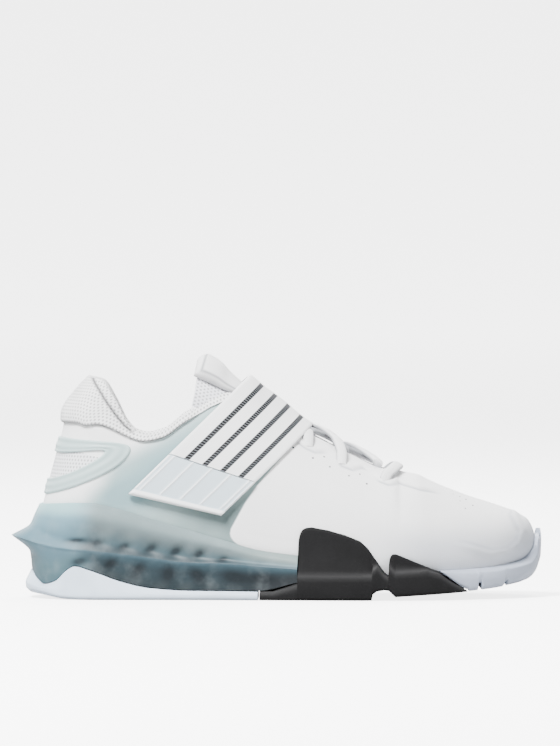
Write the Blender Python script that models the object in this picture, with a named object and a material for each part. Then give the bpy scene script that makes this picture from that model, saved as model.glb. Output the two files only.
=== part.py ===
"""Weightlifting shoe for the right foot, standing empty on its sole.

Metres, +Z up, toe along +X, medial side along +Y. The origin is on the floor under the middle of the shoe.
The upper is a function of two parameters: a goes round the foot and v climbs from the sole to the opening.
Every piece that touches the upper takes its shape from that function and a named clearance.
"""

import bmesh
import bpy
import numpy as np

# Main sizes
LENGTH = 0.2778  # upper, from the back of the heel to the toe
BALL_HALF = 0.048  # upper, half its width at the ball
COLLAR = 0.124  # top of the heel collar above the floor
BED = 0.028  # bed of the foot above the floor, at the heel
HEEL_BACK_X = -0.1325  # back of the upper

# Upper
WALL = 0.0022
COLLAR_WALL = 0.0055
FEATHER_IN = 0.0035  # how far the lower edge runs in under the widest level
HEEL_ROUND = 0.036
TOE_ROUND = 0.075
NOSE_ROUND = 0.006
OPENING_SET = 0.0275  # collar's rim ahead of the back of the heel
OPENING_LENGTH = 0.173
COLLAR_ROUND = 0.016
THROAT_ROUND = 0.009
FULLNESS = 0.87  # 1 gives round sections, less gives fuller ones
SIDE_COLUMNS = 32
CUFF_COLUMNS = 13
WALL_ROWS = 9

# Clearances
GAP = 0.0003
FIT = 0.0006  # between the upper and the rims that cup it
OVERLAY = 0.0009  # under a piece that lies on the upper

# Sole
STAND_OUT = 0.005  # sole beyond the upper, at the ball
SPUR = 0.0175
HEEL_SPINE = 0.036  # where the rays of the heel meet, ahead of its back
TOE_SPINE = 0.0153
PLATE_END = 0.4417 * LENGTH  # heel plate's front end, from the back of the upper
WEDGE_END = 0.5191 * LENGTH
POCKET = 0.0022  # depth of the pockets in the wedge
POCKET_PITCH = 0.0139
POCKET_FIRST = 0.0195
POCKET_COUNT = 7
GROOVE = 0.002
GROOVES = (0.8816 * LENGTH, 0.9338 * LENGTH)
GROOVE_TOP = 0.0095

# Inside and on top
INSOLE = 0.004
TONGUE = 0.0045
TONGUE_HALF = 0.0195
TAB = 0.0065
FRAME = 0.0012
CUFF = 0.0016
STRAP = 0.0018
STRAP_WIDTH = 0.045
STRAP_SLOPE = 44.2
STRAP_REAR = -0.1008  # rear edge's distance from the origin, square to the strap
TAB_LENGTH = 0.028
TAB_THICK = 0.0026
TAB_RIBS = 4
RIB = 0.0005
LACE = 0.005
LACE_FLAT = 0.0034
LACE_ROWS = (0.190, 0.1697, 0.1499, 0.131, 0.116)
LACE_STEPS = 9
LACE_SIDES = 6


def table(names, *rows):
    """Named columns of a table that is written row by row."""
    return dict(zip(names.split(), np.array(rows, dtype=float).T))


# Upper by station: share of LENGTH, half widths and centre line as shares of BALL_HALF, levels as shares of BED
FORM = table(
    "along lateral medial centre feather widest",
    (0.000, 0.708, 0.698, 0.000, 0.964, 1.571),
    (0.100, 0.708, 0.698, 0.000, 0.929, 1.536),
    (0.207, 0.729, 0.688, 0.000, 0.821, 1.464),
    (0.315, 0.760, 0.688, -0.010, 0.714, 1.357),
    (0.423, 0.823, 0.740, -0.020, 0.607, 1.214),
    (0.531, 0.917, 0.844, -0.010, 0.518, 1.071),
    (0.639, 1.000, 0.938, 0.020, 0.464, 1.000),
    (0.729, 1.020, 0.969, 0.062, 0.464, 0.964),
    (0.819, 1.000, 0.958, 0.125, 0.493, 0.964),
    (0.909, 0.969, 0.938, 0.198, 0.589, 1.000),
    (1.000, 0.958, 0.938, 0.270, 0.750, 1.071),
)

# Edge of the opening from the heel to the throat's front: share of OPENING_LENGTH, of COLLAR, of BALL_HALF
RIM = table(
    "along height half",
    (0.000, 0.998, 0.458),
    (0.038, 0.979, 0.458),
    (0.081, 0.895, 0.500),
    (0.119, 0.790, 0.542),
    (0.150, 0.747, 0.562),
    (0.181, 0.736, 0.583),
    (0.237, 0.753, 0.594),
    (0.301, 0.819, 0.583),
    (0.350, 0.863, 0.552),
    (0.393, 0.899, 0.521),
    (0.451, 0.930, 0.448),
    (0.491, 0.927, 0.396),
    (0.561, 0.867, 0.333),
    (0.636, 0.802, 0.302),
    (0.728, 0.731, 0.271),
    (0.835, 0.653, 0.240),
    (0.942, 0.585, 0.208),
    (1.000, 0.571, 0.198),
)

# Ridge of the vamp ahead of the throat: share of LENGTH, of COLLAR
VAMP = table(
    "along height",
    (0.600, 0.640),
    (0.722, 0.571),
    (0.761, 0.553),
    (0.785, 0.526),
    (0.810, 0.502),
    (0.858, 0.461),
    (0.908, 0.425),
    (0.956, 0.385),
    (0.981, 0.356),
    (1.000, 0.339),
)

# How far each section turns over: share of LENGTH, degrees
TURN = table("along angle", (0.0, 48), (0.30, 50), (0.48, 60), (0.60, 70), (0.722, 90), (1.0, 90))

# Back of the heel: share of the climb from the widest level to the rim, share of the way to the rim
BACK = table(
    "rise lean",
    (0.00, 0.000),
    (0.11, 0.018),
    (0.21, 0.095),
    (0.33, 0.178),
    (0.48, 0.295),
    (0.68, 0.440),
    (0.75, 0.455),
    (0.90, 0.727),
    (1.00, 1.000),
)

# Heel wedge: share of LENGTH, levels as shares of BED, stand-out of each level as a share of STAND_OUT
WEDGE = table(
    "along seat ridge top foot hollow spur waist lip",
    (0.000, 0.579, 1.250, 1.875, 1.18, 1.40, 0.00, 1.40, 0.32),
    (0.008, 0.464, 1.214, 1.880, 1.12, 1.32, 0.20, 1.30, 0.32),
    (0.020, 0.332, 1.125, 1.893, 1.04, 1.20, 0.55, 1.00, 0.30),
    (0.040, 0.518, 1.046, 1.907, 1.00, 1.00, 0.85, 0.72, 0.26),
    (0.065, 0.679, 1.007, 1.918, 0.92, 0.88, 0.97, 0.64, 0.24),
    (0.099, 0.564, 0.975, 1.911, 0.92, 0.84, 1.00, 0.60, 0.20),
    (0.155, 0.393, 0.914, 1.804, 0.90, 0.80, 1.00, 0.60, 0.16),
    (0.220, 0.243, 0.836, 1.607, 0.88, 0.78, 1.00, 0.60, 0.14),
    (0.300, 0.193, 0.743, 1.379, 0.88, 0.78, 1.00, 0.62, 0.14),
    (0.370, 0.189, 0.732, 1.179, 0.88, 0.78, 1.00, 0.64, 0.14),
    (0.440, 0.182, 0.679, 0.986, 0.88, 0.80, 1.00, 0.70, 0.14),
    (0.519, 0.350, 0.621, 0.879, 0.92, 0.88, 1.00, 0.80, 0.14),
)

# Side of the heel plate: share of LENGTH, edge levels as shares of BED, stand-out as shares of STAND_OUT
PLATE = table(
    "along tread_rise tread side_rise side",
    (0.000, 0.118, 1.40, 0.250, 2.04),
    (0.020, 0.093, 1.44, 0.214, 1.92),
    (0.065, 0.011, 1.44, 0.107, 1.64),
    (0.120, 0.000, 1.36, 0.080, 1.50),
    (0.300, 0.000, 1.04, 0.072, 1.16),
    (0.450, 0.000, 0.94, 0.072, 1.06),
)

# Dark rubber: share of LENGTH, upper edge and underside as shares of BED
RUBBER = table(
    "along top under",
    (0.4435, 0.180, 0.000),
    (0.4700, 0.182, 0.000),
    (0.4950, 0.260, 0.000),
    (0.5190, 0.340, 0.000),
    (0.5202, 1.210, 0.000),
    (0.5240, 1.400, 0.000),
    (0.5300, 1.450, 0.000),
    (0.5460, 1.468, 0.000),
    (0.5795, 1.404, 0.000),
    (0.6160, 1.300, 0.000),
    (0.6440, 1.186, 0.000),
    (0.6598, 1.043, 0.000),
    (0.6675, 0.930, 0.004),
    (0.6700, 0.895, 0.125),
    (0.6780, 0.780, 0.180),
    (0.6930, 0.560, 0.207),
    (0.7010, 0.505, 0.195),
    (0.7025, 0.800, 0.190),
    (0.7065, 0.950, 0.150),
    (0.7140, 0.930, 0.068),
    (0.7220, 0.910, 0.073),
    (0.7606, 0.761, 0.096),
    (0.7869, 0.632, 0.112),
    (0.8096, 0.571, 0.125),
    (0.8235, 0.578, 0.136),
    (0.8255, 0.430, 0.138),
    (0.8400, 0.320, 0.148),
    (0.8540, 0.215, 0.160),
)

# White toe: share of LENGTH, upper edge as a share of BED, stand-out of its side as shares of STAND_OUT
TOE = table(
    "along top under tread low side high lip",
    (0.8200, 0.576, 0.150, 0.66, 0.80, 0.84, 0.76, 0.30),
    (0.8590, 0.596, 0.175, 0.64, 0.84, 0.88, 0.76, 0.30),
    (0.9100, 0.630, 0.222, 0.50, 0.80, 0.86, 0.76, 0.32),
    (0.9500, 0.690, 0.280, 0.00, 0.66, 0.80, 0.76, 0.36),
    (0.9800, 0.780, 0.315, -0.60, 0.40, 0.76, 0.78, 0.42),
    (0.9930, 0.985, 0.328, -0.95, 0.16, 0.74, 0.80, 0.48),
    (0.9985, 1.300, 0.334, -1.05, 0.08, 0.72, 0.78, 0.52),
    (1.0000, 1.364, 0.336, -1.06, 0.06, 0.72, 0.78, 0.54),
)

# Tongue from its front end to its top: share of LENGTH, of COLLAR, of TONGUE_HALF, then of BED, of TONGUE
SPINE = table(
    "step along height half drop back",
    (0.00, 0.730, 0.5445, 0.56, 0.04, 0.0),
    (0.12, 0.690, 0.563, 0.70, 0.07, 0.0),
    (0.27, 0.621, 0.621, 0.86, 0.12, 0.0),
    (0.42, 0.549, 0.700, 0.93, 0.19, 0.0),
    (0.56, 0.477, 0.798, 0.98, 0.30, 0.0),
    (0.67, 0.434, 0.872, 1.00, 0.42, 0.0),
    (0.78, 0.398, 0.957, 1.00, 0.60, 0.2),
    (0.88, 0.362, 1.001, 1.00, 0.72, 0.5),
    (1.00, 0.320, 1.066, 1.00, 0.86, 1.0),
)

# Rise of the strap over the edge of the throat, in heights of the lace
CROWN = table("along rise", (0.40, 2.0), (0.477, 1.50), (0.54, 0.78), (0.60, 0.78))

# Crossings from the front: rise in the middle, reach past the throat's edge and height over it, in LACE
LIE = table("rise reach height", (0.35, 0.90, 0.63), (0.35, 0.90, 0.63), (0.0, -0.80, 0.06), (0.0, -0.80, 0.06))

# Mesh cuff and binding: share of the rim, drop of its lower edge as a share of COLLAR
CUFF_DROP = table(
    "along drop", (0.0, 0.206), (0.05, 0.180), (0.081, 0.110), (0.119, 0.045), (0.15, 0.026), (0.40, 0.026)
)


def ease(xs, ys, at):
    """Value at each place, on a cubic through the rows that never overshoots them."""
    steps = np.diff(xs)
    slopes = np.diff(ys) / steps
    tangents = np.zeros_like(ys)
    before, after = slopes[:-1], slopes[1:]
    same = before * after > 0
    safe_before, safe_after = np.where(same, before, 1.0), np.where(same, after, 1.0)
    tangents[1:-1] = np.where(same, 2.0 / (1.0 / safe_before + 1.0 / safe_after), 0.0)
    tangents[0], tangents[-1] = slopes[0], slopes[-1]
    at = np.clip(at, xs[0], xs[-1])
    k = np.clip(np.searchsorted(xs, at) - 1, 0, len(steps) - 1)
    t = (at - xs[k]) / steps[k]
    start = ys[k] * (1 + 2 * t) + tangents[k] * steps[k] * t
    end = ys[k + 1] * (3 - 2 * t) - tangents[k + 1] * steps[k] * (1 - t)
    return start * (1 - t) ** 2 + end * t**2


def read(rows, name, at, by="along"):
    """A named column of a table at the given shares."""
    return ease(rows[by], rows[name], np.asarray(at, dtype=float))


def smooth(low, high, at):
    """0 below low, 1 above high, eased between."""
    t = np.clip((at - low) / (high - low), 0, 1)
    return t * t * (3 - 2 * t)


def cap(near, reach, power=2.0):
    """Rounding of a width towards an end: 0 at the end, 1 from reach on."""
    return (1 - (1 - np.clip(near / reach, 0, 1)) ** power) ** (1 / power)


def wrap(a):
    """Round the foot: 0 is the heel, -1 and 1 are the toe, negative is the lateral side."""
    return (np.asarray(a, dtype=float) + 1) % 2 - 1


def share(a):
    """Share of the length that a point round the foot lies at."""
    return (1 - np.cos(np.pi * a)) / 2


def round_at(distance):
    """The place round the foot that lies at a distance from the back of the upper."""
    return np.arccos(1 - 2 * np.asarray(distance) / LENGTH) / np.pi


def along(x):
    """Share of LENGTH at a place along X."""
    return (x - HEEL_BACK_X) / LENGTH


def rim_share(x):
    """Share of OPENING_LENGTH at a place along X."""
    return (x - HEEL_BACK_X - OPENING_SET) / OPENING_LENGTH


def feather(s):
    """Height of the upper's lower edge."""
    return read(FORM, "feather", s) * BED


def widest(s):
    """Height of the upper's widest level."""
    return read(FORM, "widest", s) * BED


def half_width(s, side):
    """Half of the upper's width at its widest level."""
    lateral, medial = read(FORM, "lateral", s), read(FORM, "medial", s)
    width = np.where(side < 0, lateral, medial) * BALL_HALF
    return width * cap(s * LENGTH, HEEL_ROUND, 2.1) * cap((1 - s) * LENGTH, TOE_ROUND, 2.2)


def rim_half(r):
    """Half of the opening's width, 0 behind and ahead of it."""
    inside = cap(r * OPENING_LENGTH, COLLAR_ROUND) * cap((1 - r) * OPENING_LENGTH, THROAT_ROUND)
    return read(RIM, "half", r) * BALL_HALF * inside


def outline(a):
    """Plan of the upper at its widest level, as x and the distance from the centre line."""
    a = wrap(a)
    s = share(a)
    return np.stack([HEEL_BACK_X + s * LENGTH, np.sign(a) * half_width(s, a)], -1)


def opening(a):
    """Plan of the opening's edge."""
    a = wrap(a)
    r = share(a)
    return np.stack([HEEL_BACK_X + OPENING_SET + r * OPENING_LENGTH, np.sign(a) * rim_half(r)], -1)


def outward(a):
    """Unit normal of the outline in plan."""
    nudge = 1e-4
    step = outline(a + nudge) - outline(a - nudge)
    normal = np.stack([-step[..., 1], step[..., 0]], -1)
    return normal / np.linalg.norm(normal, axis=-1, keepdims=True)


def top(x):
    """Height of the opening's edge and, ahead of it, of the vamp's ridge."""
    s = along(x)
    low = widest(s)
    vamp = low + (read(VAMP, "height", s) * COLLAR - low) * cap((1 - s) * LENGTH, NOSE_ROUND)
    return np.where(rim_share(x) < 1, read(RIM, "height", rim_share(x)) * COLLAR, vamp)


def turn_end(x):
    """Angle that a section turns over by, up to its top."""
    return np.radians(np.minimum(read(TURN, "angle", along(x)), 89.9))


def section_half(x, z, side):
    """Half width of the upper at a place along X and a height above its widest level."""
    s = along(x)
    low, end = widest(s), turn_end(x)
    rise = np.clip((z - low) / np.maximum(top(x) - low, GAP), 0, 1)
    turn = np.arcsin(np.clip(rise ** (1 / FULLNESS) * np.sin(end), 0, 1))
    last = np.cos(end) ** FULLNESS
    share_out = (np.cos(turn) ** FULLNESS - last) / (1 - last)
    gap = rim_half(rim_share(x))
    return gap + (half_width(s, side) - gap) * share_out


def section_height(x, width, side):
    """Height of the upper's outer face at a plan point."""
    s = along(x)
    low, end = widest(s), turn_end(x)
    gap = rim_half(rim_share(x))
    last = np.cos(end) ** FULLNESS
    span = np.maximum(half_width(s, side) - gap, 1e-6)
    share_out = np.clip((np.abs(width) - gap) / span, 0, 1) * (1 - last) + last
    turn = np.arccos(np.clip(share_out ** (1 / FULLNESS), 0, 1))
    rise = np.clip(np.sin(turn) / np.sin(end), 0, 1) ** FULLNESS
    return low + (top(x) - low) * rise


def lean_at(a, turn, end, rise):
    """Share of the way in plan from the outline to the opening, for a column and its rise."""
    last = np.cos(end) ** FULLNESS
    side = 1 - (np.cos(turn) ** FULLNESS - last) / (1 - last)
    back = ease(BACK["rise"], BACK["lean"], rise)
    return side + (back - side) * (1 - smooth(0.04, 0.24, share(a)))


def front_share(a):
    """1 where the wall's height follows the sections across the foot, 0 where it climbs by levels."""
    return smooth(0.33, 0.50, share(a))


def upper_face(a, v):
    """Outer face of the upper: v is -1 at the lower edge, 0 at the widest level, 1 at the opening."""
    a, v = np.broadcast_arrays(wrap(a), np.asarray(v, dtype=float))
    s = share(a)
    base, rim = outline(a), opening(a)
    end = turn_end(rim[..., 0])
    turn = np.clip(v, 0, 1) * end
    rise = (np.sin(turn) / np.sin(end)) ** FULLNESS
    plan = base + (rim - base) * lean_at(a, turn, end, rise)[..., None]
    low = widest(s)
    level = low + (read(RIM, "height", s) * COLLAR - low) * rise
    height = level + (section_height(plan[..., 0], plan[..., 1], a) - level) * front_share(a)
    down = np.clip(-v, 0, 1)
    plan = plan - outward(a) * (FEATHER_IN * down**2)[..., None]
    height = np.where(v < 0, low - (low - feather(s)) * down, height)
    return np.concatenate([plan, height[..., None]], -1)


def upper_plan(a, z):
    """Plan point of the upper's outer face in a column, at a height."""
    a, z = np.broadcast_arrays(wrap(a), np.asarray(z, dtype=float))
    s = share(a)
    base, rim = outline(a), opening(a)
    low, high = widest(s), read(RIM, "height", s) * COLLAR
    end = turn_end(rim[..., 0])
    rise = np.clip((z - low) / (high - low), 0, 1)
    turn = np.arcsin(np.clip(rise ** (1 / FULLNESS) * np.sin(end), 0, 1))
    level = base + (rim - base) * lean_at(a, turn, end, rise)[..., None]
    across = np.stack([base[..., 0], np.sign(a) * section_half(base[..., 0], z, a)], -1)
    plan = level + (across - level) * front_share(a)[..., None]
    down = np.clip((low - z) / (low - feather(s)), 0, 1)
    return plan - outward(a) * (FEATHER_IN * down**2)[..., None]


def place(points):
    """Sets points given from the foot's centre line into the model's frame."""
    points = np.array(points, dtype=float)
    points[..., 1] += read(FORM, "centre", along(points[..., 0])) * BALL_HALF
    return points


def material(name, colour, roughness, metallic=0.0):
    """One plain finish."""
    finish = bpy.data.materials.new(name)
    finish.use_nodes = True
    shader = finish.node_tree.nodes["Principled BSDF"]
    shader.inputs["Base Color"].default_value = (*colour, 1.0)
    shader.inputs["Roughness"].default_value = roughness
    shader.inputs["Metallic"].default_value = metallic
    return finish


def solid(name, points, faces, colour, roughness):
    """Makes one closed body from points and faces, with its own material."""
    mesh = bpy.data.meshes.new(name)
    mesh.from_pydata([tuple(p) for p in points], [], faces)
    body = bmesh.new()
    body.from_mesh(mesh)
    bmesh.ops.remove_doubles(body, verts=body.verts, dist=1e-6)
    bmesh.ops.dissolve_degenerate(body, dist=1e-6, edges=body.edges)
    bmesh.ops.recalc_face_normals(body, faces=body.faces)
    body.to_mesh(mesh)
    body.free()
    mesh.shade_smooth()
    mesh.set_sharp_from_angle(angle=np.radians(40))
    mesh.materials.append(material(name, colour, roughness))
    item = bpy.data.objects.new(name, mesh)
    bpy.context.collection.objects.link(item)
    return item


def grid_faces(rows, columns, start=0, closed=False):
    """Quads of a grid of points, in row order."""
    last = rows if closed else rows - 1
    faces = []
    for i in range(last):
        for j in range(columns - 1):
            near, far = start + i * columns + j, start + (i + 1) % rows * columns + j
            faces.append((near, far, far + 1, near + 1))
    return faces


def ring(name, loops, colour, roughness, closed=False):
    """Joins closed loops of points, one after another, and closes the ends unless they meet."""
    count, size = loops.shape[:2]
    faces = []
    for i in range(count if closed else count - 1):
        for j in range(size):
            here, there = i * size, (i + 1) % count * size
            after = (j + 1) % size
            faces.append((here + j, there + j, there + after, here + after))
    if not closed:
        faces.append(tuple(range(size)))
        faces.append(tuple((count - 1) * size + j for j in range(size)))
    return solid(name, loops.reshape(-1, 3), faces, colour, roughness)


def rays(name, strips, colour, roughness):
    """Closes a body from strips of half sections that meet along a spine.

    Each strip holds, for each ray, its points from the spine's foot round the side to the spine's top.
    """
    points, faces = [], []
    for strip in strips:
        start = len(points)
        rows, columns = strip.shape[:2]
        points.extend(strip.reshape(-1, 3))
        faces.extend(grid_faces(rows, columns, start))
        faces.append(tuple(range(start, start + columns)))
        faces.append(tuple(start + (rows - 1) * columns + j for j in range(columns)))
    return solid(name, points, faces, colour, roughness)


def face_normals(grid, closed=False):
    """Unit normals of a grid of points, pointing away from the foot."""
    if closed:
        first = np.roll(grid, -1, 0) - np.roll(grid, 1, 0)
    else:
        first = np.gradient(grid, axis=0)
    normal = np.cross(np.gradient(grid, axis=1), first)
    return normal / np.maximum(np.linalg.norm(normal, axis=-1, keepdims=True), 1e-12)


def raised(plan, a, out, z):
    """Points a distance out from a plan curve, at a height."""
    z = np.broadcast_to(z, np.shape(a))
    return np.concatenate([plan + outward(a) * np.asarray(out)[..., None], z[..., None]], -1)


def spine_points(a, height):
    """Points on the spine that the rays round the foot start from."""
    x = np.clip(outline(a)[:, 0], HEEL_BACK_X + HEEL_SPINE, HEEL_BACK_X + LENGTH - TOE_SPINE)
    return np.stack([x, np.zeros_like(x), height(along(x))], -1)


def bed(s):
    """Height of the sole's bed, just under the upper's lower edge."""
    return feather(s) - GAP


def seat(s):
    """Height where the wedge stands on the heel plate and the rubber."""
    return read(WEDGE, "seat", s) * BED


def cup(a, rim_height, steps=4):
    """Inner side of a rim that cups the upper, from its edge down to the bed."""
    low = feather(share(a))
    start = np.where(rim_height < low, widest(share(a)), rim_height)
    levels = []
    for k in range(steps + 1):
        z = start + (low - start) * k / steps
        height = np.minimum(z if k < steps else low - GAP, rim_height)
        levels.append(raised(upper_plan(a, z), a, np.full(a.shape, FIT), height))
    return levels


def heel_columns(front):
    """Places round the heel, close together at the back and evenly along the sides."""
    back = np.linspace(0, round_at(POCKET_FIRST - POCKET_PITCH / 2), 8)
    sides = round_at(np.arange(POCKET_FIRST - POCKET_PITCH / 2, front, POCKET_PITCH / 3))
    half = np.concatenate([back[:-1], sides[front - share(sides) * LENGTH > POCKET_PITCH / 6], [round_at(front)]])
    return np.concatenate([-half[::-1], half[1:]])


def pockets(s):
    """Depth of the row of pockets at each share of the length."""
    reach = s * LENGTH - POCKET_FIRST
    inside = (reach > -POCKET_PITCH / 2) & (reach < POCKET_PITCH * (POCKET_COUNT - 0.5))
    return POCKET * np.where(inside, (0.5 + 0.5 * np.cos(2 * np.pi * reach / POCKET_PITCH)), 0.0)


def make_heel_plate():
    """White heel plate: flat tread, flared side, and the line that the wedge stands on."""
    a = heel_columns(PLATE_END)
    s = share(a)
    base = outline(a)

    def edge(out, rise):
        return raised(base, a, read(PLATE, out, s) * STAND_OUT, read(PLATE, rise, s) * BED)

    foot = spine_points(a, lambda at: at * 0)
    tread = edge("tread", "tread_rise")
    middle = foot + (tread - foot) * 0.55
    middle[:, 2] = 0
    upper_edge = raised(base, a, read(WEDGE, "foot", s) * STAND_OUT + GAP, seat(s) - GAP)
    crest = spine_points(a, lambda at: seat(at) - GAP)
    strip = np.stack([foot, middle, tread, edge("side", "side_rise"), upper_edge, crest], 1)
    return rays("heel_outsole", [place(strip)], (0.86, 0.88, 0.90), 0.45)


def make_heel_wedge():
    """Blue wedge: cups the heel, with the spur round its back and a row of pockets over and under the ridge."""
    a = heel_columns(WEDGE_END)
    s = share(a)
    base = outline(a)
    rim = read(WEDGE, "top", s) * BED
    ridge = read(WEDGE, "ridge", s) * BED
    foot = seat(s) + GAP
    back = 1 - read(WEDGE, "spur", s)
    spur = STAND_OUT + (SPUR - STAND_OUT) * back

    def side(name, z, depth):
        return raised(base, a, read(WEDGE, name, s) * STAND_OUT - depth, z)

    lip = FIT + read(WEDGE, "lip", s) * STAND_OUT
    levels = [
        spine_points(a, lambda at: seat(at) + GAP),
        side("foot", foot, 0 * s),
        side("hollow", foot + (ridge - foot) * 0.5, pockets(s + POCKET_PITCH / 2 / LENGTH)),
        raised(base, a, spur, ridge),
        side("waist", ridge + (rim - ridge) * (0.25 + 0.1 * back), pockets(s)),
        raised(upper_plan(a, ridge + (rim - ridge) * 0.65), a, (lip + STAND_OUT * 0.5), ridge + (rim - ridge) * 0.65),
        raised(upper_plan(a, rim), a, lip, rim),
    ]
    levels.extend(cup(a, rim))
    levels.append(spine_points(a, bed))
    return rays("heel_wedge", [place(np.stack(levels, 1))], (0.42, 0.60, 0.66), 0.35)


def make_rubber():
    """Dark forefoot rubber with its side wings, a station for each row of its table."""
    s = RUBBER["along"]
    strips = []
    for side in (-1, 1):
        a = side * round_at(s * LENGTH)
        base = outline(a)
        rim, under = RUBBER["top"] * BED, RUBBER["under"] * BED
        body = np.minimum(rim - under, 0.45 * BED)
        crease = under + 0.85 * body
        mid = (crease + rim) / 2
        tall = smooth(0.5, 1.0, RUBBER["top"])
        levels = [
            np.stack([base[:, 0], 0 * s, under], -1),
            raised(base, a, 0.66 * STAND_OUT + 0 * s, under),
            raised(base, a, 1.02 * STAND_OUT + 0 * s, under + 0.35 * body),
            raised(base, a, 0.92 * STAND_OUT + 0 * s, crease),
            raised(upper_plan(a, mid), a, FIT + (0.80 - 0.30 * tall) * STAND_OUT, mid),
            raised(upper_plan(a, rim), a, FIT + (0.70 - 0.44 * tall) * STAND_OUT, rim),
        ]
        levels.extend(cup(a, rim))
        levels.append(np.stack([base[:, 0], 0 * s, np.minimum(bed(s), rim)], -1))
        strips.append(place(np.stack(levels, 1)))
    return rays("forefoot_outsole", strips, (0.085, 0.09, 0.095), 0.6)


def toe_columns():
    """Places round the toe: the grooves' edges, stations between them and the rays of the tip."""
    edge = 0.0003
    distances = [0.8262 * LENGTH, 0.8400 * LENGTH, 0.8540 * LENGTH, 0.8575 * LENGTH, 0.8595 * LENGTH]
    for middle in GROOVES:
        distances.extend(middle + GROOVE / 2 * side + edge * step for side in (-1, 1) for step in (-side, side)[::-1])
    distances = np.array(sorted(distances + [0.9070 * LENGTH]))
    sides = round_at(distances)
    tip = np.linspace(round_at(LENGTH - TOE_SPINE), 1, 9)
    half = np.concatenate([sides, tip])
    return np.concatenate([half, 2 - half[-2::-1]])


def make_toe():
    """White toe rubber with its cross grooves and the bumper in front of the toe."""
    a = toe_columns()
    s = share(a)
    base = outline(a)
    rim = read(TOE, "top", s) * BED

    def under_at(at):
        over = np.interp(at, RUBBER["along"], RUBBER["top"]) * BED + GAP
        height = np.where(at < RUBBER["along"][-1] + 0.0040, over, read(TOE, "under", at) * BED)
        for middle in GROOVES:
            height = np.where(np.abs(at * LENGTH - middle) < GROOVE / 2, GROOVE_TOP, height)
        return height

    under = under_at(s)
    height = rim - under
    levels = [spine_points(a, under_at)]
    for name, climb in (("tread", 0.0), ("low", 0.18), ("side", 0.5), ("high", 0.8)):
        levels.append(raised(base, a, read(TOE, name, s) * STAND_OUT, under + climb * height))
    levels.append(raised(upper_plan(a, rim), a, FIT + read(TOE, "lip", s) * STAND_OUT, rim))
    levels.extend(cup(a, rim, 3))
    levels.append(spine_points(a, bed))
    return rays("toe_outsole", [place(np.stack(levels, 1))], (0.84, 0.86, 0.89), 0.5)


def wall_at(a, v):
    """Thickness of the upper's wall, padded towards the collar."""
    padded = smooth(0.35, 0.85, v) * (1 - smooth(0.26, 0.40, share(wrap(a))))
    return WALL + (COLLAR_WALL - WALL) * padded


def upper_grids():
    """Outer and inner points of the upper's wall, column by column."""
    a = np.linspace(-1, 1, 2 * SIDE_COLUMNS, endpoint=False)[:, None]
    v = np.concatenate([[-1, -0.5], np.linspace(0, 1, WALL_ROWS)])[None, :]
    outer = place(upper_face(a, v))
    return outer, outer - face_normals(outer, True) * wall_at(a, v)[..., None]


def make_upper():
    """The upper: one wall, open at the collar and throat and underneath."""
    outer, inner = upper_grids()
    loops = np.concatenate([outer, inner[:, ::-1]], 1)
    return ring("upper", loops, (0.88, 0.89, 0.90), 0.6, closed=True)


def on_wall(grid, a, v):
    """Points on one face of the upper's wall above its widest level, between the points of its grid."""
    a, v = np.broadcast_arrays(wrap(a), np.asarray(v, dtype=float))
    column, row = (a + 1) * SIDE_COLUMNS, np.clip(v, 0, 1) * (WALL_ROWS - 1)
    i, j = np.floor(column).astype(int), np.minimum(row.astype(int), WALL_ROWS - 2)
    right, climb = (column - i)[..., None], (row - j)[..., None]
    i, after, j = i % len(grid), (i + 1) % len(grid), j + 2
    low = grid[i, j] * (1 - right) + grid[after, j] * right
    high = grid[i, j + 1] * (1 - right) + grid[after, j + 1] * right
    return low * (1 - climb) + high * climb


def row_at(a, z):
    """How far up its column a height lies, from 0 at the widest level to 1 at the opening."""
    s = share(a)
    low, high = widest(s), read(RIM, "height", s) * COLLAR
    rise = np.clip((z - low) / (high - low), 0, 1)
    end = turn_end(opening(a)[..., 0])
    return np.arcsin(rise ** (1 / FULLNESS) * np.sin(end)) / end


def make_cuff():
    """Mesh cuff of the heel and binding of the collar, folded over the edge of the upper."""
    outer, inner = upper_grids()
    a = np.arange(-CUFF_COLUMNS, CUFF_COLUMNS + 1) / SIDE_COLUMNS
    drop = read(CUFF_DROP, "drop", share(a)) * COLLAR
    start = row_at(a, read(RIM, "height", share(a)) * COLLAR - drop)
    climb = np.array([0, 0.07, 0.38, 0.69, 1.0])
    wall_rows = 1 - np.array([WALL_ROWS, 3, 2, 1, 0]) / (WALL_ROWS - 1)
    v = np.maximum(start[:, None] + (1 - start[:, None]) * climb, wall_rows)
    face, lining = on_wall(outer, a[:, None], v), on_wall(inner, a[:, None], v[:, ::-1])[:, :3]
    normal = face_normals(face)
    under = face + normal * OVERLAY
    outside = under + normal * CUFF * np.array([0.3, 0.8, 1.1, 0.9, 0.5])[None, :, None]
    lining_normal = -face_normals(lining[:, ::-1])[:, ::-1]
    lining_seat = lining + lining_normal * 1.5 * OVERLAY
    lining_face = lining_seat + lining_normal * CUFF * np.array([0.5, 0.8, 0.3])[None, :, None]
    up = np.array([0, 0, 1.0])
    crest = [outside[:, -1:] + up * 1.6 * CUFF, lining_face[:, :1] + up * 1.6 * CUFF]
    bridge = [lining_seat[:, :1] + up * 1.8 * OVERLAY, under[:, -1:] + up * 1.8 * OVERLAY]
    loops = [outside[:, :-1], *crest, lining_face[:, 1:], lining_seat[:, ::-1], *bridge, under[:, ::-1]]
    return ring("collar_cuff", np.concatenate(loops, 1), (0.80, 0.80, 0.81), 0.9)


def heel_window(theta, scale):
    """Place round the heel and height on the frame's outline; scale is 1 outside and less inside."""
    reach = 0.134 + 0.150 * scale
    a = reach * np.cos(theta)
    tip = np.abs(np.cos(theta))
    middle = (0.600 + 0.065 * tip**3) * COLLAR
    half = 0.132 * scale**1.9 * COLLAR * np.sin(theta)
    return a, middle + half


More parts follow.
